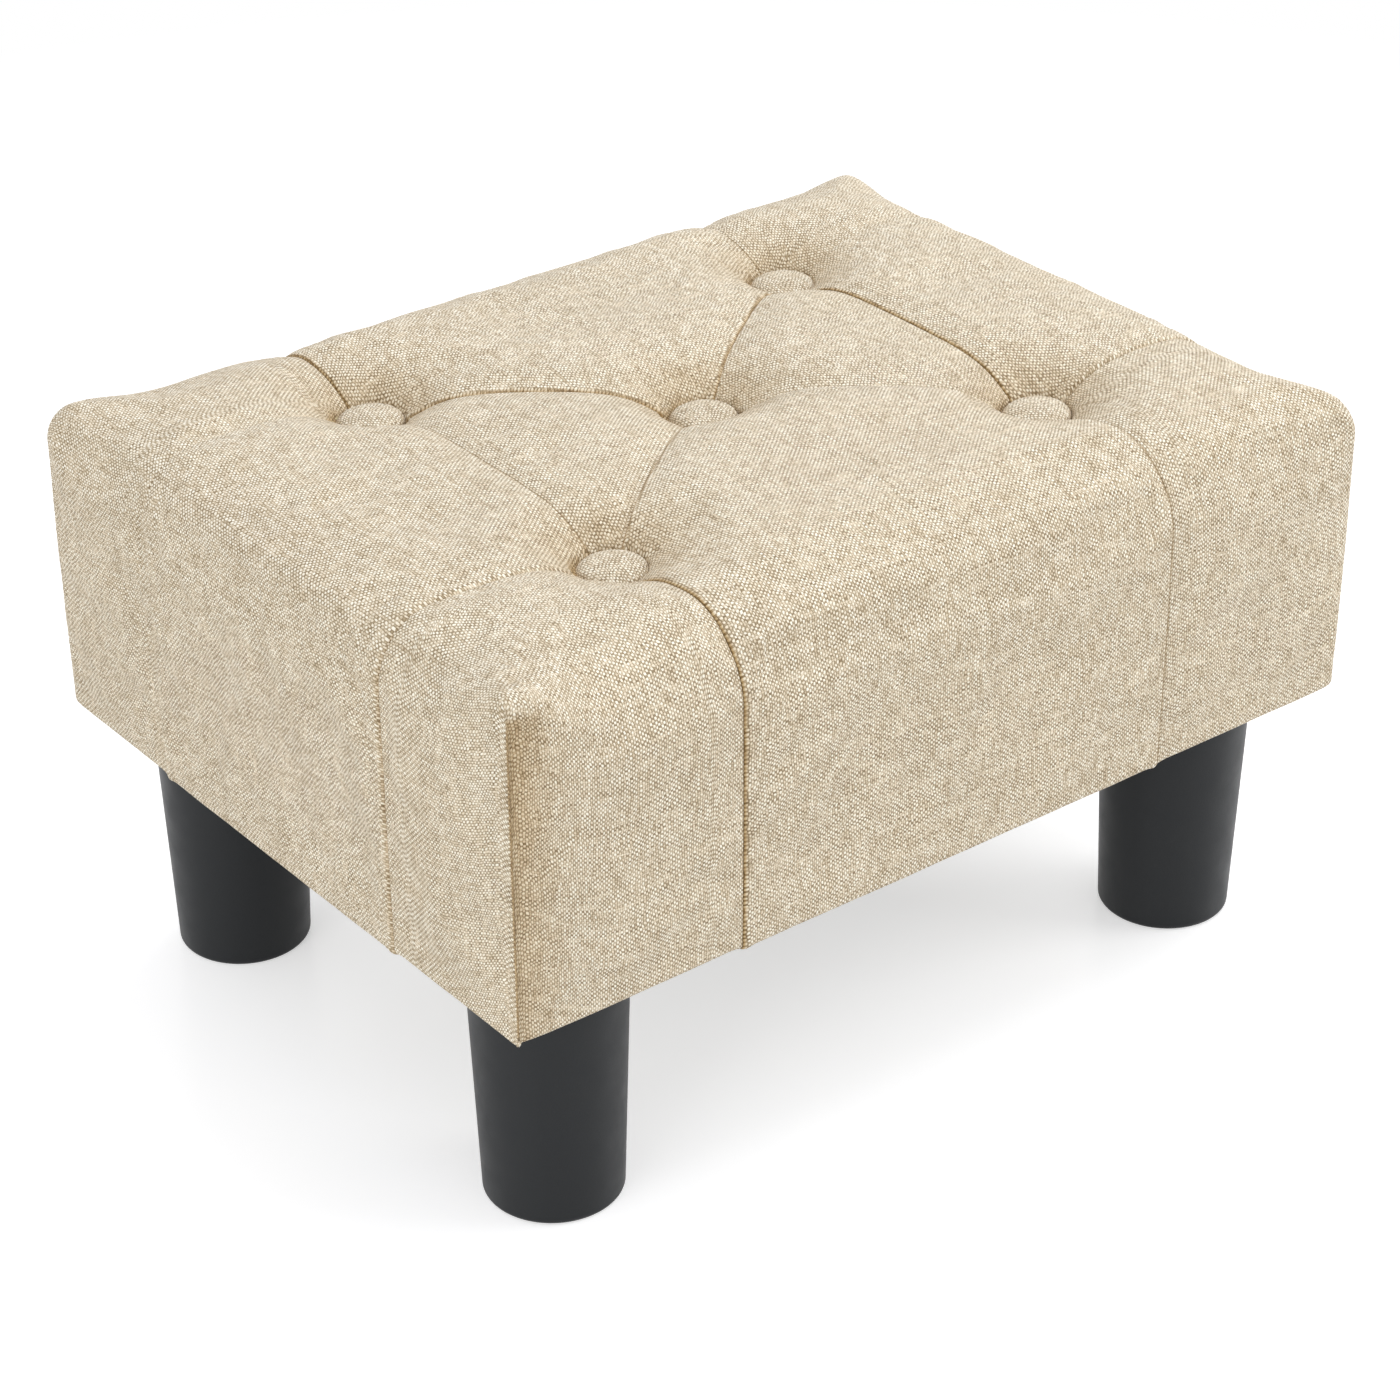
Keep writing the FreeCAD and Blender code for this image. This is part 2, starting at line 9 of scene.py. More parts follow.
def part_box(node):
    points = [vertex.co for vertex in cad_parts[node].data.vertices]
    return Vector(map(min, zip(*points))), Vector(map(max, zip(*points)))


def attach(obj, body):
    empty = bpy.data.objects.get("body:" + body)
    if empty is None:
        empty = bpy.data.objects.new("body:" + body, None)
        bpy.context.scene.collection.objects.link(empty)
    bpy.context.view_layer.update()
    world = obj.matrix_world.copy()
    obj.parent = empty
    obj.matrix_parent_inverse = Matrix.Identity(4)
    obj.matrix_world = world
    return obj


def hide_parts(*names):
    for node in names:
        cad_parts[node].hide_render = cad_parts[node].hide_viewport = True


# Upholstered footstool: linen-look cover in ten sewn panels, five covered buttons, four plastic legs.
# Sizes are in millimetres, as in the part's source, and meshes are made in metres.
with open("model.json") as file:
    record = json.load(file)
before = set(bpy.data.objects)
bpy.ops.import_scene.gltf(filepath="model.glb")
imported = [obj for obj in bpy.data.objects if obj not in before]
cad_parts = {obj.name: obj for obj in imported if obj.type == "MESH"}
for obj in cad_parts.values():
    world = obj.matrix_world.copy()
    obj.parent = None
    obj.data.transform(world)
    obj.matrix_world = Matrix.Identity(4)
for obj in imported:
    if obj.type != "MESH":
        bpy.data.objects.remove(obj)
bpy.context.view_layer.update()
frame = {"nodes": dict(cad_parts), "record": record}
mm = 0.001

# Plan and heights of the pad
half_length = 199.6
half_width = 151.6
hem_low = 106.4
hem_lowest = 104.1
seam_crest = 236.1
side_bulge = 0.6
bulge_height = 74.0

# Rounding of the top edges, and how far the top falls towards each of them
front_round = 28.0
rear_round = 32.0
left_round = 22.0
right_round = 34.0
front_fall = 3.0
rear_fall = 4.5
left_fall = 1.0
rear_left_lift = 2.6
lift_from = 60.0
lift_over = 80.0
right_fall = 4.5
seam_draw = 3.0
seam_draw_reach = 16.0
end_draw = 0.3
left_corner_round = 15.0
right_corner_round = 16.0
near_corner_round = 5.0
near_corner_lift = 2.0
near_lift_reach = 26.0
corner_reach = 50.0
plan_power = 5.0
top_power = 2.0

# Pillows between the seams
top_pillow_rise = 3.0
side_pillow_rise = 0.7
top_pillow_reach = 12.0
side_pillow_reach = 7.0
end_valley = 0.4

# Unevenness of the wadding
slow_unevenness = 0.12
quick_unevenness = 0.1
hem_unevenness = 0.12

# Buttons and dimples
button_x = 100.5
button_y = 76.5
button_radius = 13.3
button_seat = 222.8
button_height = 5.2
dome_curve = 0.82
button_tilt = 0.06
button_underside = ((0.9, -0.35), (2.6, -0.45), (4.5, -0.45))
button_cloth = 0.5
button_turns = 96
dome_rings = 18
button_rim_shade = 1.0
dimple_depth = 28.0
dimple_reach = 17.3
dimple_power = 1.4
dimple_floor = 12.8
pinch_depth = 13.6
pinch_start = 13.2
button_pocket = 2.4
pinch_width = 3.4
pleat_height = 0.32
pleat_start = 13.0
pleat_reach = 11.0

# Cloth of the cover: its grid, its seams and hem, and the painted shade in its hollows, in its seams and
# beside its corner seams
grid_step = 2.4
fine_step = 0.9
fine_reach = 11.0
cloth_thickness = 1.0
seam_gap = 0.3
edge_roll = 1.0
edge_tuck = 2.6
hem_roll = 2.6
hem_flange = 21.0
seam_lump = 1.1
corner_recess = 2.3
corner_recess_reach = 8.5
corner_lap = 0.3
slit_roll = 0.6
corner_set_back = 2.2
dimple_shade = 0.34
shaded_depth = 9.0
rim_shade_reach = 2.4
corner_shade = 0.95
corner_shade_band = 16.0
# Strength of the painted seam shade on the diagonal seams and on the seams over the ends
diagonal_seam_shade = 0.6
end_top_seam_shade = 0.05
end_side_seam_shade = 0.3
seam_shade_drop = 22.0
seam_shade_zone = 30.0

# Legs
leg_x = 154.5
leg_y = 106.5

BUTTONS = {
    "front_left": (-button_x, -button_y),
    "rear_left": (-button_x, button_y),
    "front_right": (button_x, -button_y),
    "rear_right": (button_x, button_y),
    "middle": (0.0, 0.0),
}
SIDE_NAMES = {-1: "left", 1: "right"}
LONG_NAMES = {-1: "front", 1: "rear"}

scene = bpy.context.scene


# Camera, at the photograph's own place
camera_place = Vector((-0.7876, -1.0142, 0.8455))
camera_yaw = math.radians(37.74)
camera_pitch = math.radians(30.12)
camera_roll = math.radians(-0.42)
camera_focal_pixels = 3752.8
photo_pixels = 1400.0


def make_camera():
    data = bpy.data.cameras.new("photo_camera")
    camera = bpy.data.objects.new("photo_camera", data)
    scene.collection.objects.link(camera)
    data.sensor_width = 36.0
    data.lens = data.sensor_width * camera_focal_pixels / photo_pixels
    ahead = Vector((math.sin(camera_yaw) * math.cos(camera_pitch),
                    math.cos(camera_yaw) * math.cos(camera_pitch),
                    -math.sin(camera_pitch)))
    right = ahead.cross(Vector((0, 0, 1))).normalized()
    up = right.cross(ahead)
    rolled_right = math.cos(camera_roll) * right + math.sin(camera_roll) * up
    rolled_up = -math.sin(camera_roll) * right + math.cos(camera_roll) * up
    turn = Matrix((rolled_right, rolled_up, -ahead)).transposed()
    camera.matrix_world = Matrix.Translation(camera_place) @ turn.to_4x4()
    data.clip_start = 0.05
    data.clip_end = 60.0
    scene.camera = camera


# Wiring of shader and geometry nodes

class Wiring:
    """Places nodes in a tree and joins them up."""

    def __init__(self, tree):
        self.tree = tree

    def node(self, kind, inputs=None, **settings):
        made = self.tree.nodes.new(kind)
        for name, value in settings.items():
            setattr(made, name, value)
        for name, value in (inputs or {}).items():
            self.set(made.inputs[name], value)
        return made

    def set(self, socket, value):
        if isinstance(value, bpy.types.NodeSocket):
            self.tree.links.new(value, socket)
        else:
            socket.default_value = value

    def math(self, operation, *values, clamp=False):
        made = self.tree.nodes.new("ShaderNodeMath")
        made.operation = operation
        made.use_clamp = clamp
        for socket, value in zip(made.inputs, values):
            self.set(socket, value)
        return made.outputs[0]

    def plus(self, *values, clamp=False):
        return self.math("ADD", *values, clamp=clamp)

    def minus(self, *values):
        return self.math("SUBTRACT", *values)

    def times(self, *values):
        return self.math("MULTIPLY", *values)

    def over(self, *values):
        return self.math("DIVIDE", *values)

    def vector(self, operation, *values):
        made = self.tree.nodes.new("ShaderNodeVectorMath")
        made.operation = operation
        for socket, value in zip(made.inputs, values):
            self.set(socket, value)
        return made.outputs[0]

    def noise(self, place, scale, detail=2.0, rough=0.5, distortion=0.0):
        made = self.node("ShaderNodeTexNoise", {"Vector": place, "Scale": scale, "Detail": detail,
                                                "Roughness": rough, "Distortion": distortion})
        return made.outputs["Fac"]

    def spread(self, value, low, high, to_low=0.0, to_high=1.0):
        made = self.node("ShaderNodeMapRange", {"Value": value, "From Min": low, "From Max": high,
                                                "To Min": to_low, "To Max": to_high})
        return made.outputs["Result"]

    def mix(self, share, first, second):
        made = self.node("ShaderNodeMix", data_type="RGBA")
        self.set(made.inputs["Factor"], share)
        self.set(made.inputs[6], first)
        self.set(made.inputs[7], second)
        return made.outputs[2]

    def combine(self, x, y, z=0.0):
        return self.node("ShaderNodeCombineXYZ", {"X": x, "Y": y, "Z": z}).outputs[0]

    def split(self, place):
        made = self.node("ShaderNodeSeparateXYZ", {"Vector": place})
        return made.outputs[0], made.outputs[1], made.outputs[2]


def new_group(name, inputs, outputs):
    """A shader node group with named sockets. Inputs and outputs are (name, kind, plain value)."""
    tree = bpy.data.node_groups.new(name, "ShaderNodeTree")
    for label, kind, plain in inputs:
        socket = tree.interface.new_socket(label, in_out="INPUT", socket_type="NodeSocket" + kind)
        if plain is not None:
            socket.default_value = plain
    for label, kind in outputs:
        tree.interface.new_socket(label, in_out="OUTPUT", socket_type="NodeSocket" + kind)
    wires = Wiring(tree)
    return tree, wires, wires.node("NodeGroupInput").outputs, wires.node("NodeGroupOutput").inputs


def linear(red, green, blue):
    """A colour written as it looks on a screen, from 0 to 255, as Blender's own linear colour."""
    values = []
    for part in (red, green, blue):
        share = part / 255
        values.append(share / 12.92 if share <= 0.04045 else ((share + 0.055) / 1.055) ** 2.4)
    return (*values, 1.0)


# Colours that paint shade onto the cloth: in its hollows, and deeper down in its seams
painted_hollow_shade_tint = (0.66, 0.53, 0.34)
painted_seam_shade_tint = (0.34, 0.33, 0.34)


def linen_weave_group():
    """Plain weave of slubby yarns, from cloth coordinates in metres, with shade painted from its Shade
    input.
    """
    tree, w, given, out = new_group(
        "linen weave",
        [("Cloth", "Vector", None), ("Warp Pitch", "Float", 0.001015), ("Weft Pitch", "Float", 0.000877),
         ("Slub", "Float", 1.0), ("Shade", "Float", 0.0),
         ("Light Yarn", "Color", (0.9, 0.8, 0.7, 1)), ("Base Yarn", "Color", (0.6, 0.5, 0.4, 1)),
         ("Dark Yarn", "Color", (0.5, 0.4, 0.3, 1)), ("Gap", "Color", (0.3, 0.2, 0.1, 1))],
        [("Color", "Color"), ("Height", "Float"), ("Roughness", "Float")])
    wander = w.noise(given["Cloth"], 90.0, 3.0, 0.6)
    waver = w.times(w.minus(wander, 0.5), 1.8)
    jitter = w.noise(given["Cloth"], 330.0, 1.0)
    waver = w.plus(waver, w.times(w.minus(jitter, 0.5), 1.1))
    x, y, _ = w.split(given["Cloth"])
    across = w.plus(w.over(x, given["Warp Pitch"]), waver)
    along = w.minus(w.over(y, given["Weft Pitch"]), waver)
    warp_number = w.math("FLOOR", across)
    weft_number = w.math("FLOOR", along)
    in_warp = w.minus(w.math("FRACT", across), 0.5)
    in_weft = w.minus(w.math("FRACT", along), 0.5)
    half_sum = w.times(w.plus(warp_number, weft_number), 0.5)
    over = w.minus(w.times(w.math("FRACT", half_sum), 4.0), 1.0)
    # Slubs: each yarn's own thickness and shade, changing slowly along it
    warp_place = w.combine(w.times(warp_number, 3.71), w.times(along, 0.13))
    weft_place = w.combine(w.times(across, 0.13), w.times(weft_number, 3.37), 9.0)
    warp_slub = w.noise(warp_place, 1.0, 2.0, 0.6)
    weft_slub = w.noise(weft_place, 1.0, 2.0, 0.6)
    warp_shade = w.noise(w.vector("ADD", warp_place, (17.3, 4.1, 2.2)), 1.0, 1.0, 0.6)
    weft_shade = w.noise(w.vector("ADD", weft_place, (5.9, 13.7, 6.4)), 1.0, 1.0, 0.6)

    def yarn_height(cross, lengthwise, sign, slub):
        width = w.spread(slub, 0.25, 0.75, 0.86, 1.12)
        round_over = w.math("COSINE", w.times(w.over(cross, width), math.pi))
        crest = w.times(w.math("COSINE", w.times(lengthwise, math.pi)), sign)
        lift = w.plus(w.times(crest, 0.45), 0.55)
        body = w.math("POWER", w.math("MAXIMUM", round_over, 0.0), 0.6)
        return w.times(body, w.times(lift, width))

    warp_height = yarn_height(in_warp, in_weft, over, warp_slub)
    weft_height = yarn_height(in_weft, in_warp, w.times(over, -1.0), weft_slub)
    weft_height = w.times(weft_height, 0.85)
    height = w.math("MAXIMUM", warp_height, weft_height)
    warp_shows = w.math("GREATER_THAN", warp_height, weft_height)
    # Tone of the yarn on top, from its own slubs, each crossing's own chance, and single fibres
    shade = w.node("ShaderNodeMix", {"Factor": warp_shows, "A": weft_shade, "B": warp_shade}).outputs[0]
    crossing = w.node("ShaderNodeTexWhiteNoise", {"Vector": w.combine(warp_number, weft_number)},
                      noise_dimensions="2D").outputs["Value"]
    flecks = w.noise(given["Cloth"], 2300.0, 1.0, 0.5)
    tone = w.times(w.minus(shade, 0.5), 1.6)
    tone = w.plus(tone, w.times(w.minus(crossing, 0.5), 0.3))
    tone = w.times(tone, given["Slub"])
    tone = w.plus(tone, w.times(w.minus(warp_shows, 0.5), 0.7))
    tone = w.plus(tone, w.times(w.minus(flecks, 0.5), 0.5))
    tone = w.minus(tone, w.times(w.spread(height, 0.7, 0.25), 0.7))
    colour = w.mix(w.spread(tone, 0.0, 0.55), given["Base Yarn"], given["Light Yarn"])
    colour = w.mix(w.spread(tone, 0.0, -0.5), colour, given["Dark Yarn"])
    colour = w.mix(w.spread(tone, -0.45, -0.95), colour, given["Gap"])
    cloudy = w.noise(given["Cloth"], 28.0, 3.0, 0.6)
    clouds = w.spread(cloudy, 0.3, 0.7, 0.97, 1.03)
    # Shade up to 1 paints the shade of a hollow, and from 1 to 2 a deeper painted shade down in a seam
    painted_hollow_shade = w.vector("MULTIPLY", colour, painted_hollow_shade_tint)
    colour = w.mix(w.spread(given["Shade"], 0.0, 1.0), colour, painted_hollow_shade)
    painted_seam_shade = w.vector("MULTIPLY", colour, painted_seam_shade_tint)
    colour = w.mix(w.spread(given["Shade"], 1.0, 2.0), colour, painted_seam_shade)
    toned = w.node("ShaderNodeVectorMath", {0: colour}, operation="SCALE")
    w.set(toned.inputs["Scale"], clouds)
    w.set(out["Color"], toned.outputs[0])
    w.set(out["Height"], w.plus(height, w.times(flecks, 0.22)))
    w.set(out["Roughness"], w.spread(shade, 0.3, 0.7, 0.95, 0.8))
    return tree


def speckle_group():
    """Fine mottling and grain for moulded, metal and foamed surfaces."""
    tree, w, given, out = new_group(
        "speckle",
        [("Place", "Vector", None), ("Grain Size", "Float", 0.0008), ("Cloud Size", "Float", 0.02),
         ("Main", "Color", (0.5, 0.5, 0.5, 1)), ("Second", "Color", (0.4, 0.4, 0.4, 1)),
         ("Smoothest", "Float", 0.4), ("Roughest", "Float", 0.6)],
        [("Color", "Color"), ("Height", "Float"), ("Roughness", "Float")])
    grain = w.noise(given["Place"], w.over(1.0, given["Grain Size"]), 3.0, 0.6)
    cloud = w.noise(given["Place"], w.over(1.0, given["Cloud Size"]), 3.0, 0.55)
    share = w.plus(w.times(grain, 0.5), w.times(cloud, 0.5))
    w.set(out["Color"], w.mix(w.spread(share, 0.35, 0.65), given["Main"], given["Second"]))
    w.set(out["Height"], grain)
    rough = w.spread(cloud, 0.3, 0.7, 0.0, 1.0)
    width = w.minus(given["Roughest"], given["Smoothest"])
    w.set(out["Roughness"], w.plus(given["Smoothest"], w.times(rough, width)))
    return tree


def wood_grain_group():
    """Growth rings and pores that run along one axis of the piece."""
    tree, w, given, out = new_group(
        "wood grain",
        [("Place", "Vector", None), ("Ring Width", "Float", 0.004),
         ("Early Wood", "Color", (0.6, 0.45, 0.25, 1)), ("Late Wood", "Color", (0.4, 0.25, 0.12, 1))],
        [("Color", "Color"), ("Height", "Float"), ("Roughness", "Float")])
    x, y, z = w.split(given["Place"])
    stretched = w.combine(w.times(x, 0.12), y, z)
    bend = w.noise(stretched, 22.0, 2.0)
    out_from_heart = w.math("SQRT", w.plus(w.times(y, y), w.times(z, z)))
    rings = w.plus(w.over(out_from_heart, given["Ring Width"]), w.times(bend, 5.0))
    saw = w.math("FRACT", rings)
    late = w.math("POWER", saw, 3.0)
    pores = w.noise(w.combine(w.times(x, 0.04), y, z), 1500.0, 2.0)
    share = w.plus(w.times(late, 0.7), w.times(pores, 0.25))
    w.set(out["Color"], w.mix(share, given["Early Wood"], given["Late Wood"]))
    w.set(out["Height"], w.minus(pores, w.times(late, 0.4)))
    w.set(out["Roughness"], w.spread(pores, 0.3, 0.7, 0.6, 0.8))
    return tree


def ply_group():
    """Thin glued layers of a board, seen on its edges, with veneer grain on its faces."""
    tree, w, given, out = new_group(
        "ply layers",
        [("Place", "Vector", None), ("Layer", "Float", 0.0018),
         ("Pale", "Color", (0.6, 0.45, 0.25, 1)), ("Dark", "Color", (0.4, 0.25, 0.12, 1))],
        [("Color", "Color"), ("Height", "Float"), ("Roughness", "Float")])
    x, y, z = w.split(given["Place"])
    layer = w.over(z, given["Layer"])
    odd = w.math("GREATER_THAN", w.math("FRACT", w.times(layer, 0.5)), 0.5)
    glue = w.spread(w.math("ABSOLUTE", w.minus(w.math("FRACT", layer), 0.5)), 0.42, 0.5)
    along = w.noise(w.combine(w.times(x, 0.06), y, z), 260.0, 4.0, 0.65)
    figure = w.noise(w.combine(w.times(x, 0.2), y, z), 14.0, 3.0, 0.6, 1.5)
    share = w.plus(w.times(along, 0.45), w.times(figure, 0.35))
    share = w.plus(share, w.times(odd, 0.18))
    share = w.plus(share, w.times(glue, 0.3), clamp=True)
    w.set(out["Color"], w.mix(share, given["Pale"], given["Dark"]))
    w.set(out["Height"], along)
    w.set(out["Roughness"], w.spread(along, 0.3, 0.7, 0.6, 0.8))
    return tree


def new_material(name, group, settings, relief, strength, plain=None, place="Object"):
    """A Principled material fed by one of the groups above.

    relief is the bump's depth in metres, and plain holds constant values of the shader itself."""
    material = bpy.data.materials.new(name)
    material.use_nodes = True
    material.node_tree.nodes.clear()
    w = Wiring(material.node_tree)
    result = w.node("ShaderNodeOutputMaterial")
    surface = w.node("ShaderNodeBsdfPrincipled")
    w.set(result.inputs["Surface"], surface.outputs[0])
    effect = w.node("ShaderNodeGroup", node_tree=group)
    if place == "Cloth":
        w.set(effect.inputs[0], w.node("ShaderNodeUVMap", uv_map="cloth").outputs[0])
        w.set(effect.inputs["Shade"], w.node("ShaderNodeAttribute", attribute_name="shade").outputs["Fac"])
    else:
        w.set(effect.inputs[0], w.node("ShaderNodeTexCoord").outputs["Object"])
    for label, value in settings.items():
        effect.inputs[label].default_value = value
    bump = w.node("ShaderNodeBump", {"Height": effect.outputs["Height"], "Strength": strength,
                                     "Distance": relief})
    w.set(surface.inputs["Base Color"], effect.outputs["Color"])
    w.set(surface.inputs["Roughness"], effect.outputs["Roughness"])
    w.set(surface.inputs["Normal"], bump.outputs[0])
    for label, value in (plain or {}).items():
        surface.inputs[label].default_value = value
    return material


# Cloth of the cover and buttons, with its pitches in metres
linen = {
    "Warp Pitch": 0.001015, "Weft Pitch": 0.000877, "Slub": 1.0,
    "Light Yarn": linear(255, 250, 235), "Base Yarn": linear(230, 215, 190),
    "Dark Yarn": linear(178, 161, 132), "Gap": linear(138, 120, 92)}
linen_surface = {"Sheen Weight": 0.12, "Sheen Roughness": 0.5, "Specular IOR Level": 0.15}

# Plain finishes: name, grain and cloud size, two colours, smoothest and roughest, relief, bump, surface
speckled = {
    "leg_plastic": ("charcoal_plastic", 0.0006, 0.012, (19, 22, 25), (25, 28, 31), 0.42, 0.52,
                    0.00008, 0.35, {"Specular IOR Level": 0.3}),
    "foam": ("cut_foam", 0.0011, 0.03, (236, 226, 188), (222, 206, 158), 0.9, 1.0,
             0.0006, 0.8, {"Specular IOR Level": 0.1}),
    "zinc_steel": ("zinc_plated_steel", 0.0004, 0.004, (190, 192, 196), (160, 163, 168), 0.28, 0.42,
                   0.00003, 0.3, {"Metallic": 1.0}),
    "staple_steel": ("bright_staple_steel", 0.0003, 0.003, (200, 200, 198), (170, 170, 168), 0.22, 0.36,
                     0.00002, 0.3, {"Metallic": 1.0}),
    "button_metal": ("pressed_tin", 0.0005, 0.006, (205, 204, 200), (180, 178, 172), 0.3, 0.45,
                     0.00003, 0.3, {"Metallic": 1.0}),
    "twine": ("waxed_twine", 0.0003, 0.0015, (232, 224, 204), (196, 182, 152), 0.7, 0.9,
              0.0002, 0.8, {}),
    "dust_cloth": ("black_dust_cloth", 0.0007, 0.006, (30, 31, 33), (48, 49, 52), 0.8, 0.95,
                   0.0002, 0.7, {}),
}


def make_materials():
    weave = linen_weave_group()
    speckle = speckle_group()
    grain = wood_grain_group()
    ply = ply_group()
    made = {}
    for slot, name in (("cover_fabric", "linen_cover"), ("button_fabric", "linen_button")):
        made[slot] = new_material(name, weave, linen, 0.0003, 0.6, linen_surface, "Cloth")
    for slot, look in speckled.items():
        name, grain_size, cloud_size, main, second, smoothest, roughest, relief, bump, surface = look
        settings = {"Grain Size": grain_size, "Cloud Size": cloud_size, "Main": linear(*main),
                    "Second": linear(*second), "Smoothest": smoothest, "Roughest": roughest}
        made[slot] = new_material(name, speckle, settings, relief, bump, surface)
    made["pine"] = new_material(
        "planed_pine", grain,
        {"Ring Width": 0.0042, "Early Wood": linear(222, 190, 140), "Late Wood": linear(176, 130, 78)},
        0.0002, 0.4)
    made["plywood"] = new_material(
        "birch_ply", ply,
        {"Layer": 0.0018, "Pale": linear(222, 196, 152), "Dark": linear(168, 130, 86)}, 0.0002, 0.4)
    return made


# Floor, lights and surroundings
floor_half = 12.0
near_floor = 0.42
far_floor = 1.1
floor_colour = (0.80, 0.80, 0.80, 1.0)
floor_lift = 0.52
floor_roughness = 0.22
floor_gloss = 0.35
white_colour = (1.0, 1.0, 1.0, 1.0)
side_tint = (1.055, 1.0, 0.90, 1.0)
top_tint = (0.965, 1.0, 1.09, 1.0)
sky_strength = 0.72

# Soft lights: place, width, height and power
light_target = Vector((0, 0, 0.1))
SOFTBOXES = {
    "overhead_softbox": ((1.0, 0.2, 2.1), 1.8, 1.8, 20.0),
    "left_softbox": ((-2.4, -0.8, 0.85), 1.4, 1.8, 17.0),
    "front_softbox": ((2.1, -1.6, 1.5), 1.4, 1.4, 24.0),
}


def make_floor():
    mesh = bpy.data.meshes.new("studio_floor")
    s = floor_half
    mesh.from_pydata([(-s, -s, 0), (s, -s, 0), (s, s, 0), (-s, s, 0)], [], [(0, 1, 2, 3)])
    floor = bpy.data.objects.new("studio_floor", mesh)
    scene.collection.objects.link(floor)
    material = bpy.data.materials.new("white_floor")
    material.use_nodes = True
    material.node_tree.nodes.clear()
    w = Wiring(material.node_tree)
    surface = w.node("ShaderNodeBsdfPrincipled", {"Base Color": floor_colour, "Roughness": floor_roughness,
                                                  "Specular IOR Level": floor_gloss})
    lift = w.node("ShaderNodeEmission", {"Color": white_colour, "Strength": floor_lift})
    lit = w.node("ShaderNodeAddShader")
    w.set(lit.inputs[0], surface.outputs[0])
    w.set(lit.inputs[1], lift.outputs[0])
    white = w.node("ShaderNodeEmission", {"Color": white_colour, "Strength": 1.0})
    x, y, _ = w.split(w.node("ShaderNodeTexCoord").outputs["Object"])
    away = w.math("SQRT", w.plus(w.times(x, x), w.times(y, y)))
    far = w.spread(away, near_floor, far_floor)
    seen = w.node("ShaderNodeMixShader", {"Fac": far})
    w.set(seen.inputs[1], lit.outputs[0])
    w.set(seen.inputs[2], white.outputs[0])
    path = w.node("ShaderNodeLightPath")
    shows = w.math("MAXIMUM", path.outputs["Is Camera Ray"], path.outputs["Is Glossy Ray"])
    shows = w.math("MAXIMUM", shows, path.outputs["Is Transmission Ray"])
    plain = w.node("ShaderNodeBsdfDiffuse", {"Color": floor_colour})
    both = w.node("ShaderNodeMixShader", {"Fac": shows})
    w.set(both.inputs[1], plain.outputs[0])
    w.set(both.inputs[2], seen.outputs[0])
    w.set(w.node("ShaderNodeOutputMaterial").inputs["Surface"], both.outputs[0])
    mesh.materials.append(material)


def make_world():
    world = bpy.data.worlds.new("studio")
    scene.world = world
    world.use_nodes = True
    world.node_tree.nodes.clear()
    w = Wiring(world.node_tree)
    # A little warmer from the sides than from above
    _, _, height = w.split(w.node("ShaderNodeTexCoord").outputs["Generated"])
    tint = w.mix(w.spread(height, 0.1, 0.9), side_tint, top_tint)
    light = w.node("ShaderNodeBackground", {"Color": tint, "Strength": sky_strength})
    white = w.node("ShaderNodeBackground", {"Color": white_colour, "Strength": 1.0})
    path = w.node("ShaderNodeLightPath")
    shows = w.math("MAXIMUM", path.outputs["Is Camera Ray"], path.outputs["Is Transmission Ray"])
    both = w.node("ShaderNodeMixShader", {"Fac": shows})
    w.set(both.inputs[1], light.outputs[0])
    w.set(both.inputs[2], white.outputs[0])
    w.set(w.node("ShaderNodeOutputWorld").inputs["Surface"], both.outputs[0])


def add_softbox(name, place, width, height, power):
    data = bpy.data.lights.new(name, "AREA")
    data.shape = "RECTANGLE"
    data.size = width
    data.size_y = height
    data.energy = power
    lamp = bpy.data.objects.new(name, data)
    scene.collection.objects.link(lamp)
    lamp.location = place
    lamp.rotation_mode = "QUATERNION"
    lamp.rotation_quaternion = (light_target - Vector(place)).to_track_quat("-Z", "Y")


def make_stage():
    make_floor()
    make_world()
    for name, (place, width, height, power) in SOFTBOXES.items():
        add_softbox(name, place, width, height, power)
    scene.view_settings.view_transform = "Standard"


# Form of the pad

def eased(share):
    share = np.clip(share, 0.0, 1.0)
    return share * share * (3.0 - 2.0 * share)


def unit(vectors):
    return vectors / np.maximum(np.linalg.norm(vectors, axis=-1, keepdims=True), 1e-9)


def undulation(x, y, z, size, seed):
    """Smooth, even unevenness between about -1 and 1, the same on every run."""
    chance = np.random.RandomState(seed)
    total = np.zeros_like(x)
    for _ in range(7):
        way = unit(chance.normal(size=3))
        wave = size * chance.uniform(0.7, 1.6)
        total += np.sin((way[0] * x + way[1] * y + way[2] * z) * 2 * math.pi / wave
                        + chance.uniform(0, 2 * math.pi))
    return total / 3.2


def button_distance(x, y, down):
    away = [np.sqrt((x - bx) ** 2 + (y - by) ** 2) + down for bx, by in BUTTONS.values()]
    return np.min(away, axis=0)


def button_west(x, y):
    """1 straight to the left of the nearest button, falling to 0 in front, behind and on the right."""
    offsets = [(bx - x, np.sqrt((x - bx) ** 2 + (y - by) ** 2)) for bx, by in BUTTONS.values()]
    nearest = np.argmin([away for _, away in offsets], axis=0)
    shares = [left / np.maximum(away, 1e-6) for left, away in offsets]
    return np.clip(np.choose(nearest, shares), 0.0, 1.0)


def dimple(x, y, down):
    """Depth of the wide dimples and of the pinch right under each button."""
    total = np.zeros_like(x)
    for bx, by in BUTTONS.values():
        away = np.sqrt((x - bx) ** 2 + (y - by) ** 2) + down
        held = (away ** 4 + dimple_floor ** 4) ** 0.25
        total += dimple_depth * np.exp(-(held / dimple_reach) ** dimple_power)
    start = pinch_start + button_pocket * button_west(x, y) ** 1.5
    pinch = pinch_depth * (1.0 - eased((button_distance(x, y, down) - start) / pinch_width))
    return (total ** 6 + pinch ** 6) ** (1.0 / 6.0)


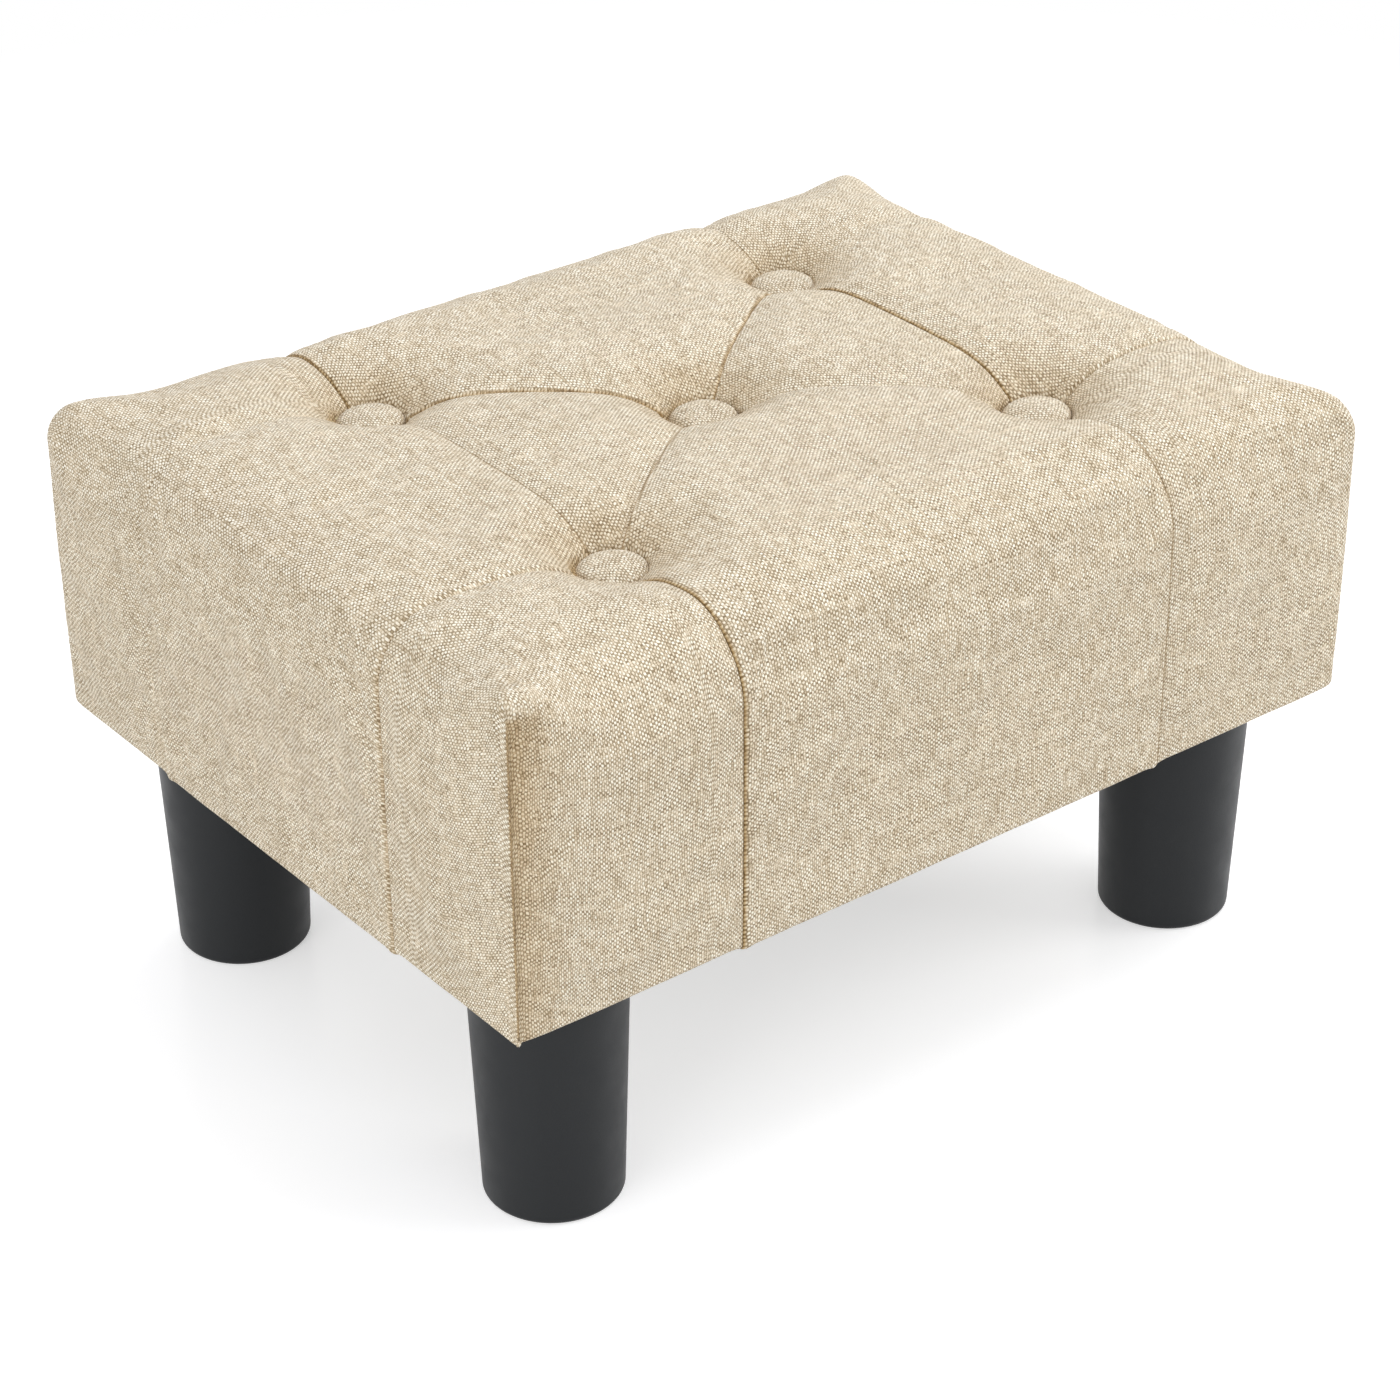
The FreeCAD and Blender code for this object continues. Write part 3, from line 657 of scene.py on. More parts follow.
def pleats(x, y, down):
    """Small gathers that run out from under each button."""
    total = np.zeros_like(x)
    for number, (bx, by) in enumerate(BUTTONS.values()):
        chance = np.random.RandomState(50 + number)
        away = np.sqrt((x - bx) ** 2 + (y - by) ** 2) + down
        angle = np.arctan2(y - by, x - bx)
        fan = np.zeros_like(x)
        for count in (5, 8, 11, 15):
            fan += np.sin(count * angle + chance.uniform(0, 2 * math.pi)) * chance.uniform(0.3, 0.7)
        beyond = np.clip(away - pleat_start, 0, None)
        strength = eased(beyond / 3.0) * np.exp(-beyond / pleat_reach)
        total += pleat_height * fan * strength
    return total


def draw_in(distance):
    """How much rounder an edge is where a seam draws it in."""
    return seam_draw * np.exp(-(distance / seam_draw_reach) ** 2)


def padded_form(x, y, down):
    """Places and outward directions on the smooth pad, before its pillows.

    x and y lie on the sharp outline of the pad, and down is the way down its side."""
    sign_x = np.where(x < 0, -1.0, 1.0)
    sign_y = np.where(y < 0, -1.0, 1.0)
    to_end = half_length - np.abs(x)
    to_side = half_width - np.abs(y)
    from_corner = np.hypot(to_end, to_side)
    away = eased(from_corner / corner_reach)
    near = (x < 0) & (y < 0)
    tip = np.where(x < 0, left_corner_round, right_corner_round)
    tip = np.where(near, near_corner_round, tip)
    long_round = np.where(y < 0, front_round, rear_round) + draw_in(np.abs(x) - button_x)
    short_round = np.where(x < 0, left_round, right_round) + end_draw * draw_in(np.abs(y) - button_y)
    round_y = tip + (long_round - tip) * away
    round_x = tip + (short_round - tip) * away
    weight_y = 1.0 / (to_side + 1.0)
    weight_x = 1.0 / (to_end + 1.0)
    round_z = (round_y * weight_y + round_x * weight_x) / (weight_y + weight_x)
    fall = np.where(y < 0, front_fall, rear_fall) * (np.abs(y) / half_width) ** 4
    fall = fall + np.where(x < 0, left_fall, right_fall) * (np.abs(x) / half_length) ** 6
    lifted_end = eased((-x - lift_from) / lift_over)
    fall = fall - rear_left_lift * lifted_end * np.where(y > 0, (y / half_width) ** 4, 0.0)
    lifted = np.where(near, np.exp(-(from_corner / near_lift_reach) ** 2), 0.0)
    crest = seam_crest - fall * (1 - lifted) + near_corner_lift * lifted
    over_x = np.clip(1.0 - to_end / round_x, 0, None)
    over_y = np.clip(1.0 - to_side / round_y, 0, None)
    over_z = np.clip(1.0 - down / round_z, 0, None)
    plan = over_x ** plan_power + over_y ** plan_power
    share = (plan ** (top_power / plan_power) + over_z ** top_power) ** (1.0 / top_power)
    z_inner = crest - np.maximum(round_z, down)
    place = np.stack([
        sign_x * (np.minimum(np.abs(x), half_length - round_x) + round_x * over_x / share),
        sign_y * (np.minimum(np.abs(y), half_width - round_y) + round_y * over_y / share),
        z_inner + round_z * over_z / share], -1)
    bend = np.where(plan > 1e-12, np.maximum(plan, 1e-12) ** (top_power / plan_power - 1.0), 0.0)
    outward = unit(np.stack([
        sign_x * bend * over_x ** (plan_power - 1) / round_x,
        sign_y * bend * over_y ** (plan_power - 1) / round_y,
        over_z ** (top_power - 1) / round_z], -1))
    # The side tucks in towards the hem
    full_level = hem_low + bulge_height
    tuck = side_bulge * (np.clip(full_level - place[..., 2], 0, None) / bulge_height) ** 2
    level_way = unit(outward * np.array([1.0, 1.0, 0.0]))
    place = place - level_way * tuck[..., None]
    return place, outward


def cover_surface(x, y, down, seam_distances):
    """Places and outward directions on the finished cover.

    seam_distances holds the distance to each seam nearby, and how deep that seam's valley is."""
    place, outward = padded_form(x, y, down)
    top_share = outward[..., 2] ** 2
    reach = side_pillow_reach + (top_pillow_reach - side_pillow_reach) * top_share
    fullness = np.ones_like(x)
    for distance, strength in seam_distances:
        fullness = fullness * (1.0 - strength * (1.0 - np.tanh(np.clip(distance, 0, None) / reach)))
    rise = side_pillow_rise + (top_pillow_rise - side_pillow_rise) * top_share
    lift = rise * fullness - dimple(x, y, down) + pleats(x, y, down)
    px, py, pz = place[..., 0], place[..., 1], place[..., 2]
    lift += slow_unevenness * undulation(px, py, pz, 70.0, 3) * fullness
    lift += quick_unevenness * undulation(px, py, pz, 24.0, 4) * fullness
    return place + outward * lift[..., None], outward


# Panels of the cover

# Steps down a side and down a corner's slit, the rows of a rolled edge and of the turned hem
side_step = 2.0
slit_start = 3.0
slit_ease = 9.0
roll_angles = (30.0, 60.0, 90.0)
tuck_shares = (0.4, 1.0)
# Painted shade of each rolled row, deepening into the seam
edge_shades = (0.45, 1.3, 2.0, 2.0, 2.0)
edge_row_count = len(roll_angles) + len(tuck_shares)
hem_angles = (22.0, 45.0, 68.0, 90.0)
flange_shares = (0.08, 0.2, 0.35, 0.5, 0.66, 0.82, 1.0)
lump_reach = 3.5
level_reach = 12.0
hem_room = 60.0
corner_room = 1.2


def edge_rows(place, outward, towards, size):
    """Rows that roll a panel's edge down into its seam. size runs from 0 to 1 along the edge."""
    lean = unit(towards - outward * np.sum(towards * outward, -1, keepdims=True))
    size = np.asarray(size)[..., None] if np.ndim(size) else size
    rows = []
    for angle in roll_angles:
        turn = math.radians(angle)
        rows.append(place + size * edge_roll * (lean * math.sin(turn) - outward * (1 - math.cos(turn))))
    last = rows[-1]
    for depth in tuck_shares:
        rows.append(last - size * outward * edge_tuck * depth)
    return rows


class Patch:
    """A grid of points over part of a panel, with its cloth coordinates and its painted shade."""

    def __init__(self, place, outward):
        self.place = place
        self.outward = outward
        self.held = np.zeros(place.shape[:2])
        below = np.maximum(seam_crest - 20 - place[..., 2], 0)
        x, y = place[..., 0], place[..., 1]
        # Painted shade in the dimples, and in a ring round each button that is stronger on the button's left
        # side
        self.shade = dimple_shade * eased(dimple(x, y, below) / shaded_depth)
        beside = button_distance(x, y, below) - button_radius
        west = button_west(x, y)
        rim = (0.75 + 0.25 * west) * (1.0 - eased((beside - button_pocket * west ** 1.5) / rim_shade_reach))
        self.shade = np.maximum(self.shade, rim)
        self.cloth = None


def add_edges(patch, side, towards, size=1.0, tone=1.0):
    """Adds rolled rows on one side of a patch: 'first', 'last', 'low' or 'high'.

    size shrinks the roll and tone lightens its painted seam shade, both along the edge."""
    place, outward, held, shade = patch.place, patch.outward, patch.held, patch.shade
    index = {"first": (0, slice(None)), "last": (-1, slice(None)),
             "low": (slice(None), 0), "high": (slice(None), -1)}[side]
    rows = edge_rows(place[index], outward[index], towards, size)
    axis = 0 if side in ("first", "last") else 1
    normal = np.expand_dims(outward[index], axis)
    grip = np.ones_like(np.expand_dims(held[index], axis))
    held = held.copy()
    held[index] = 1.0
    # Painted shade on the rolled rows, deepening down into the seam
    strength = np.asarray(size) * np.asarray(tone) * np.ones_like(shade[index])
    painted_seam_shade = [np.expand_dims(np.maximum(shade[index], strength * depth), axis)
            for depth in edge_shades]
    if side in ("first", "low"):
        rows = rows[::-1]
        place = np.concatenate([np.expand_dims(r, axis) for r in rows] + [place], axis)
        outward = np.concatenate([normal] * len(rows) + [outward], axis)
        held = np.concatenate([grip] * len(rows) + [held], axis)
        shade = np.concatenate(painted_seam_shade[::-1] + [shade], axis)
    else:
        place = np.concatenate([place] + [np.expand_dims(r, axis) for r in rows], axis)
        outward = np.concatenate([outward] + [normal] * len(rows), axis)
        held = np.concatenate([held] + [grip] * len(rows), axis)
        shade = np.concatenate([shade] + painted_seam_shade, axis)
    patch.place, patch.outward, patch.held, patch.shade = place, outward, held, shade


def hem_rows(place, towards, room, level):
    """Rows that turn the cloth under the frame. room is how far the cloth may reach inwards,
    and level is how low its turn goes."""
    rows = []
    for angle in hem_angles:
        turn = math.radians(angle)
        step = np.minimum(hem_roll * (1 - math.cos(turn)), room)
        row = place + towards * step[..., None]
        row[..., 2] = place[..., 2] - (place[..., 2] - level) * math.sin(turn)
        rows.append(row)
    last = rows[-1]
    under = np.minimum(hem_flange, room) - np.minimum(hem_roll, room)
    for share in flange_shares:
        row = last + towards * (under * share)[..., None]
        settle = eased(np.array(share * 2.0))
        row[..., 2] = last[..., 2] * (1 - settle) + hem_low * settle
        rows.append(row)
    return rows


def graded(start, stop, fine_at):
    """Places from start to stop, close together near each of the places in fine_at."""
    fine_grid = np.linspace(start, stop, 4001)
    nearest = np.min([np.abs(fine_grid - place) for place in fine_at], axis=0)
    step = fine_step + (grid_step - fine_step) * eased((nearest - fine_reach) / fine_reach)
    count = np.concatenate([[0.0], np.cumsum(np.abs(np.diff(fine_grid)) / step[1:])])
    total = max(2, int(round(count[-1])))
    return np.interp(np.linspace(0, count[-1], total + 1), count, fine_grid)


def even(start, stop, step):
    return np.linspace(start, stop, max(2, int(round(abs(stop - start) / step)) + 1))


def side_steps():
    """Ways down the side, from the top edge to where the hem starts to turn."""
    depth = seam_crest - hem_lowest - hem_roll
    return np.linspace(0.0, depth, int(depth / side_step) + 1)


def lumps(distance):
    """The seam allowance makes a small lump where it is folded under."""
    return seam_lump * np.exp(-(distance / lump_reach) ** 2)


def side_patch(x, y, seam_distances, towards, room, hem_seam_distance, back_x=0.0, back_y=0.0):
    """A grid down one side. x and y are arrays along the edge, and the second axis goes down.

    room is how far the hem may reach inwards. back_x and back_y set the last columns back from
    the upright corner seam."""
    downs = side_steps()
    slit = eased((downs - slit_start) / slit_ease)[None, :]
    long_x = np.repeat(x[:, None], len(downs), 1)
    long_y = np.repeat(y[:, None], len(downs), 1)
    share_x = corner_share(np.abs(x) - button_x, half_length - button_x)
    share_y = corner_share(np.abs(y) - button_y, half_width - button_y)
    long_x = long_x - np.sign(long_x) * back_x * slit * share_x
    long_y = long_y - np.sign(long_y) * back_y * slit * share_y
    long_down = np.repeat(downs[None, :], len(x), 0)
    place, outward = cover_surface(long_x, long_y, long_down, seam_distances(long_x, long_y, long_down))
    # All columns end level, at the start of the hem's turn
    turn_level = hem_lowest + hem_roll
    top = place[:, :1, 2]
    foot = place[:, -1:, 2]
    place[..., 2] = top + (place[..., 2] - top) * (top - turn_level) / (top - foot)
    waver = hem_unevenness * undulation(place[:, -1, 0], place[:, -1, 1], place[:, -1, 2], 45.0, 9)
    drop = lumps(hem_seam_distance) + waver
    near_hem = eased((downs - downs[-1] + level_reach) / level_reach)
    place[..., 2] -= drop[:, None] * near_hem[None, :]
    rows = hem_rows(place[:, -1], towards, room, hem_lowest - drop)
    place = np.concatenate([place] + [r[:, None] for r in rows], 1)
    outward = np.concatenate([outward] + [outward[:, -1:]] * len(rows), 1)
    patch = Patch(place, outward)
    patch.held[:, len(downs) - 2:] = 1.0
    return patch, downs


def corner_share(distance, whole):
    """Nothing along most of an edge, and one at the corner."""
    return (np.clip(distance / whole, 0, 1) ** 6)[:, None]


def cumulative(place, axis, origin):
    """Distance along a grid axis, measured from the line numbered origin."""
    steps = np.linalg.norm(np.diff(place, axis=axis), axis=-1)
    shape = list(place.shape[:2])
    shape[axis] = 1
    total = np.concatenate([np.zeros(shape), np.cumsum(steps, axis)], axis)
    return total - np.take(total, [origin], axis)


def patch_faces(rows, columns, offset, flip):
    """Quads of a grid whose points are numbered row by row from offset."""
    number = offset + np.arange(rows * columns).reshape(rows, columns)
    quads = np.stack([number[:-1, :-1], number[1:, :-1], number[1:, 1:], number[:-1, 1:]], -1)
    quads = quads.reshape(-1, 4)
    return quads[:, ::-1] if flip else quads


def join_patches(patches, shift):
    """One mesh from grids that share borders, with cloth coordinates that start at shift."""
    place = np.concatenate([patch.place.reshape(-1, 3) for patch, _ in patches])
    cloth = np.concatenate([patch.cloth.reshape(-1, 2) for patch, _ in patches]) + np.array(shift)
    held = np.concatenate([patch.held.reshape(-1) for patch, _ in patches])
    shade = np.concatenate([patch.shade.reshape(-1) for patch, _ in patches])
    faces, offset = [], 0
    for patch, flip in patches:
        rows, columns = patch.place.shape[:2]
        faces.append(patch_faces(rows, columns, offset, flip))
        offset += rows * columns
    # Points of two grids in the same place become one
    keys = np.round(place * 2000).astype(np.int64)
    _, first, number = np.unique(keys, axis=0, return_index=True, return_inverse=True)
    number = number.reshape(-1)
    most_held = np.zeros(len(first))
    np.maximum.at(most_held, number, held)
    whole = [tuple(dict.fromkeys(face)) for face in number[np.concatenate(faces)].tolist()]
    whole = [face for face in whole if len(face) > 2]
    return place[first], whole, cloth[first], most_held, shade[first]


def new_mesh_object(name, place, faces, cloth=None, shade=None):
    mesh = bpy.data.meshes.new(name)
    mesh.from_pydata((np.asarray(place) * mm).tolist(), [], [list(face) for face in faces])
    mesh.validate()
    if cloth is not None:
        layer = mesh.uv_layers.new(name="cloth")
        index = np.zeros(len(mesh.loops), np.int32)
        mesh.loops.foreach_get("vertex_index", index)
        layer.data.foreach_set("uv", (np.asarray(cloth)[index] * mm).astype(np.float32).ravel())
    layer = mesh.attributes.new("shade", "FLOAT", "POINT")
    if shade is not None:
        layer.data.foreach_set("value", np.asarray(shade, np.float32))
    mesh.shade_smooth()
    piece = bpy.data.objects.new(name, mesh)
    scene.collection.objects.link(piece)
    return piece


DIAGONAL = math.hypot(button_x, button_y)
seam_edge = seam_gap + edge_roll


def top_and_side(place, outward, side):
    """One patch from the grid over the top and the side patch that carries it on down."""
    top_count = place.shape[1]
    patch = Patch(np.concatenate([place, side.place[:, 1:]], 1),
                  np.concatenate([outward, side.outward[:, 1:]], 1))
    patch.held[:, top_count:] = side.held[:, 1:]
    patch.shade[:, top_count:] = 0.0
    return patch


def cloth_lengths(patch, top_count):
    """Cloth coordinates of a panel over an edge: across it, and along it from the end of its top."""
    reference = top_count + edge_row_count
    measured = reference + 20
    across = cumulative(patch.place, 0, patch.place.shape[0] // 2)[:, measured:measured + 1]
    along = cumulative(patch.place, 1, reference)
    return np.broadcast_to(across, along.shape), along


def long_panel(sign_y):
    """Front or rear panel: the V between two diagonals, and the side below it."""
    xs = graded(-(button_x - seam_edge), button_x - seam_edge, [-button_x, 0.0, button_x])
    start = button_y * np.abs(xs) / button_x + seam_edge * DIAGONAL / button_x
    share = (graded(0.0, half_width - 20.0, [0.0]) / (half_width - 20.0))[None, :]
    rows = share.shape[1]
    top_y = sign_y * (start[:, None] + (half_width - start[:, None]) * share)
    top_x = np.repeat(xs[:, None], rows, 1)

    def seams(x, y, down):
        reach_y = np.abs(y) + down
        slant = (button_x * reach_y - button_y * np.abs(x)) / DIAGONAL
        return [(button_x - x, 1.0), (button_x + x, 1.0), (slant, 1.0)]

    place, outward = cover_surface(top_x, top_y, np.zeros_like(top_x),
                                   seams(top_x, top_y, np.zeros_like(top_x)))
    inward = np.array([0.0, -sign_y, 0.0])
    edge_y = np.full_like(xs, sign_y * half_width)
    side, _ = side_patch(xs, edge_y, seams, inward, np.full_like(xs, hem_room), button_x - np.abs(xs))
    patch = top_and_side(place, outward, side)
    slope = np.sign(xs)[:, None] * np.array([[button_y, 0.0, 0.0]]) \
        + np.array([[0.0, -sign_y * button_x, 0.0]])
    add_edges(patch, "low", unit(slope), tone=diagonal_seam_shade)
    add_edges(patch, "first", np.array([-1.0, 0.0, 0.0]))
    add_edges(patch, "last", np.array([1.0, 0.0, 0.0]))
    across, along = cloth_lengths(patch, place.shape[1])
    patch.cloth = np.stack([across, along], -1)
    return [(patch, sign_y > 0)]


def end_seam_shade(line):
    """Strength of the painted seam shade over the ends: faint on top, where the seams lie flat, and more on
    the upright side.
    """
    upright = eased((seam_crest + 1.0 - line[:, 2]) / seam_shade_drop)
    upright = upright * (np.abs(line[:, 0]) > half_length - seam_shade_zone)
    return end_top_seam_shade + (end_side_seam_shade - end_top_seam_shade) * upright


def end_panel(sign_x):
    """Panel between the two buttons of one end, over the end's top and down its side."""
    ys = graded(-(button_y - seam_edge), button_y - seam_edge, [-button_y, button_y])
    xs = graded(button_x + seam_edge, half_length, [button_x])
    top_x = sign_x * np.repeat(xs[None, :], len(ys), 0)
    top_y = np.repeat(ys[:, None], len(xs), 1)

    def seams(x, y, down):
        return [(button_y - y, end_valley), (button_y + y, end_valley), (np.abs(x) - button_x + down, 1.0)]

    flat = np.zeros_like(top_x)
    place, outward = cover_surface(top_x, top_y, flat, seams(top_x, top_y, flat))
    inward = np.array([-sign_x, 0.0, 0.0])
    edge_x = np.full_like(ys, sign_x * half_length)
    side, _ = side_patch(edge_x, ys, seams, inward, np.full_like(ys, hem_room), button_y - np.abs(ys))
    patch = top_and_side(place, outward, side)
    faint = end_seam_shade(patch.place[patch.place.shape[0] // 2])
    add_edges(patch, "first", np.array([0.0, -1.0, 0.0]), tone=faint)
    add_edges(patch, "last", np.array([0.0, 1.0, 0.0]), tone=faint)
    add_edges(patch, "low", np.array([-sign_x, 0.0, 0.0]))
    across, along = cloth_lengths(patch, place.shape[1])
    patch.cloth = np.stack([along, across], -1)
    return [(patch, sign_x < 0)]


def triangle_panel(sign_x):
    """Panel between the middle button and the two buttons of one end."""
    narrow = (seam_edge * DIAGONAL / button_x + 0.3) * button_x / button_y
    xs = graded(narrow, button_x - seam_edge, [0.0, button_x])
    reach = button_y * xs / button_x - seam_edge * DIAGONAL / button_x
    share = (graded(-button_y, button_y, [-button_y, button_y]) / button_y)[None, :]
    count = share.shape[1]
    top_x = sign_x * np.repeat(xs[:, None], count, 1)
    top_y = reach[:, None] * share

    def seams(x, y):
        low = (button_y * np.abs(x) - button_x * y) / DIAGONAL
        high = (button_y * np.abs(x) + button_x * y) / DIAGONAL
        return [(low, 1.0), (high, 1.0), (button_x - np.abs(x), 1.0)]

    place, outward = cover_surface(top_x, top_y, np.zeros_like(top_x), seams(top_x, top_y))
    patch = Patch(place, outward)
    add_edges(patch, "low", unit(np.array([-sign_x * button_y, -button_x, 0.0])), tone=diagonal_seam_shade)
    add_edges(patch, "high", unit(np.array([-sign_x * button_y, button_x, 0.0])), tone=diagonal_seam_shade)
    add_edges(patch, "last", np.array([sign_x, 0.0, 0.0]))
    patch.held[0] = 1.0
    middle = patch.place.shape[1] // 2
    along = cumulative(patch.place, 1, middle)
    across = cumulative(patch.place, 0, 0)[:, middle:middle + 1]
    patch.cloth = np.stack([np.broadcast_to(across, along.shape), along], -1)
    return [(patch, sign_x < 0)]


def corner_panel(sign_x, sign_y):
    """Panel over one corner of the pad, slit and sewn down the upright corner."""
    xs = graded(button_x + seam_edge, half_length, [button_x, half_length])
    ys = graded(button_y + seam_edge, half_width, [button_y, half_width])
    top_x = sign_x * np.repeat(xs[:, None], len(ys), 1)
    top_y = sign_y * np.repeat(ys[None, :], len(xs), 0)

    def seams(x, y, down):
        on_long = np.abs(np.abs(y) - half_width) < 1e-6
        on_end = np.abs(np.abs(x) - half_length) < 1e-6
        to_x = np.abs(x) - button_x + np.where(on_end, down, 0.0)
        to_y = np.abs(y) - button_y + np.where(on_long, down, 0.0)
        return [(to_x, 1.0), (to_y, end_valley)]

    flat = np.zeros_like(top_x)
    place, outward = cover_surface(top_x, top_y, flat, seams(top_x, top_y, flat))
    top = Patch(place, outward)

    # Side strips; the last column of each runs down the slit. The cloth of one lies over the other
    long_edge = np.full_like(xs, sign_y * half_width)
    end_edge = np.full_like(ys, sign_x * half_length)
    long_behind = sign_x < 0
    back_long, back_end = (corner_set_back, corner_lap) if long_behind else (corner_lap, corner_set_back)
    long_side, downs = side_patch(sign_x * xs, long_edge, seams, np.array([0.0, -sign_y, 0.0]),
                                  half_length - xs + corner_room, xs - button_x, back_x=back_long)
    end_side, _ = side_patch(end_edge, sign_y * ys, seams, np.array([-sign_x, 0.0, 0.0]),
                             half_width - ys + corner_room, ys - button_y, back_y=back_end)

    def down_the_slit(values, under_hem):
        """One value for each row of a side: as given down the side, and a plain one under the hem."""
        return np.append(values, np.full(long_side.place.shape[1] - len(downs), under_hem))

    slit = down_the_slit(eased((downs - slit_start) / slit_ease), 1.0)
    line = down_the_slit(eased((downs - slit_start) / 3.0), 1.0)
    fainter = down_the_slit(1.0 - 0.45 * downs / downs[-1], 0.55)
    close = down_the_slit(eased((downs[-1] - downs + 2.0) / 5.0), 0.0)
    long_side.shade = np.zeros(long_side.place.shape[:2])
    end_side.shade = np.zeros(end_side.place.shape[:2])
    if long_behind:
        strip, from_slit, away = long_side, half_length - xs, np.array([0.0, sign_y, 0.0])
    else:
        strip, from_slit, away = end_side, half_width - ys, np.array([sign_x, 0.0, 0.0])
    behind = np.exp(-(from_slit / corner_recess_reach) ** 1.3)[:, None]
    strip.place = strip.place - away * (corner_recess * behind * (slit * fainter)[None, :])[..., None]
    # Painted shade on the strip that lies behind, strongest at the slit and fading away from it, fainter
    # towards the hem
    shade_band = np.exp(-(from_slit / corner_shade_band) ** 3.0)[:, None]
    strip.shade = (0.35 * behind + 0.5 * shade_band) * corner_shade * (line * fainter)[None, :]

    side_x = np.array([-sign_x, 0.0, 0.0])
    side_y = np.array([0.0, -sign_y, 0.0])
    add_edges(top, "first", side_x)
    add_edges(top, "low", side_y, tone=end_seam_shade(top.place[:, 0]))
    add_edges(long_side, "first", side_x)
    add_edges(end_side, "first", side_y, tone=end_seam_shade(end_side.place[0]))
    # Cloth coordinates run on from the top down both sides
    top_u = cumulative(top.place, 0, 0)
    top_v = cumulative(top.place, 1, 0)
    top.cloth = np.stack([top_u, top_v], -1)
    fallen = cumulative(long_side.place, 1, 0)
    long_side.cloth = np.stack([np.broadcast_to(top_u[:, -1:], fallen.shape), top_v[:, -1:] + fallen], -1)
    fallen = cumulative(end_side.place, 1, 0)
    end_side.cloth = np.stack([top_u[-1:].T + fallen, np.broadcast_to(top_v[-1:].T, fallen.shape)], -1)
    # The slit's edges turn in, from nothing at the top of the seam
    for axis, (strip, way) in enumerate(((long_side, -side_x), (end_side, -side_y))):
        before = strip.cloth
        add_edges(strip, "last", way, slit * close * slit_roll)
        grown = np.repeat(before[-1:], edge_row_count, 0)
        grown[..., axis] += cumulative(strip.place, 0, before.shape[0] - 1)[before.shape[0]:]
        strip.cloth = np.concatenate([before, grown], 0)
        strip.held[-edge_row_count - 2:, :] = 1.0
    flip = sign_x * sign_y < 0
    return [(top, flip), (long_side, flip), (end_side, not flip)]


def build_panels():
    """The ten panels, each under its node's name as a list of patches and whether their faces turn over."""
    panels = {}
    for sign_y in (-1, 1):
        panels["cover_" + LONG_NAMES[sign_y]] = long_panel(sign_y)
    for sign_x in (-1, 1):
        end = SIDE_NAMES[sign_x]
        panels["cover_%s_end" % end] = end_panel(sign_x)
        panels["cover_%s_triangle" % end] = triangle_panel(sign_x)
        for sign_y in (-1, 1):
            panels["cover_corner_%s_%s" % (LONG_NAMES[sign_y], end)] = corner_panel(sign_x, sign_y)
    return panels


# Cloth simulation: each panel is held along its seams and swells a little over the foam
swell_pressure = 2.2
swell_frames = 14
swell_out = 1.8
swell_in = 0.7
swell_along = 0.6
swell_at_button = 0.15
spare_cloth = 0.006


def blend_held(held, faces, rings):
    """Spreads the grip of the seams a few points into the panel."""
    edges = set()
    for face in faces:
        for a, b in zip(face, face[1:] + face[:1]):
            edges.add((min(a, b), max(a, b)))
    pairs = np.array(sorted(edges))
    value = held.copy()
    for _ in range(rings):
        spread = np.zeros_like(value)
        np.maximum.at(spread, pairs[:, 0], value[pairs[:, 1]] * 0.72)
        np.maximum.at(spread, pairs[:, 1], value[pairs[:, 0]] * 0.72)
        value = np.maximum(value, spread)
    return value


def prepare_swelling(piece, held):
    group = piece.vertex_groups.new(name="held")
    for number, value in enumerate(held.tolist()):
        if value > 0.02:
            group.add([number], value, "REPLACE")
    cloth = piece.modifiers.new("swelling", "CLOTH")
    settings = cloth.settings
    settings.quality = 4
    settings.mass = 0.25
    settings.tension_stiffness = 14.0
    settings.compression_stiffness = 14.0
    settings.shear_stiffness = 6.0
    settings.bending_stiffness = 0.35
    settings.tension_damping = 8.0
    settings.compression_damping = 8.0
    settings.shear_damping = 8.0
    settings.air_damping = 4.0
    settings.use_pressure = True
    settings.uniform_pressure_force = swell_pressure
    settings.shrink_min = -spare_cloth
    settings.shrink_max = -spare_cloth
    settings.vertex_group_mass = "held"
    settings.pin_stiffness = 1.0
    settings.effector_weights.gravity = 0.0
    cloth.collision_settings.use_collision = False
    cloth.collision_settings.use_self_collision = False
    cloth.point_cache.frame_start = 1
    cloth.point_cache.frame_end = swell_frames + 1


def swell(pieces):
    """Runs the simulation for all panels together and keeps its capped result."""
    scene.frame_start = 1
    scene.frame_end = swell_frames + 1
    for number in range(1, swell_frames + 1):
        scene.frame_set(number)
    dependency = bpy.context.evaluated_depsgraph_get()
    for piece in pieces:
        mesh = piece.data
        count = len(mesh.vertices)
        before = np.zeros(count * 3)
        after = np.zeros(count * 3)
        normal = np.zeros(count * 3)
        mesh.vertices.foreach_get("co", before)
        mesh.vertex_normals.foreach_get("vector", normal)
        piece.evaluated_get(dependency).data.vertices.foreach_get("co", after)
        before, after, normal = (a.reshape(-1, 3) for a in (before, after, normal))
        moved = after - before
        rise = np.sum(moved * normal, -1)
        flat_x, flat_y, flat_z = (before / mm).T
        away = button_distance(flat_x, flat_y, np.maximum(seam_crest - 20.0 - flat_z, 0.0))
        free = swell_at_button + (1.0 - swell_at_button) * eased((away - button_radius) / 24.0)
        capped = np.clip(rise, -swell_in * mm, swell_out * mm) * free
        along = moved - rise[:, None] * normal
        length = np.linalg.norm(along, axis=-1, keepdims=True)
        along = along * np.minimum(1.0, swell_along * mm / np.maximum(length, 1e-9))
        mesh.vertices.foreach_set("co", (before + capped[:, None] * normal + along).ravel())
        mesh.update()
    for piece in pieces:
        piece.modifiers.remove(piece.modifiers["swelling"])
        piece.vertex_groups.clear()
    scene.frame_set(1)


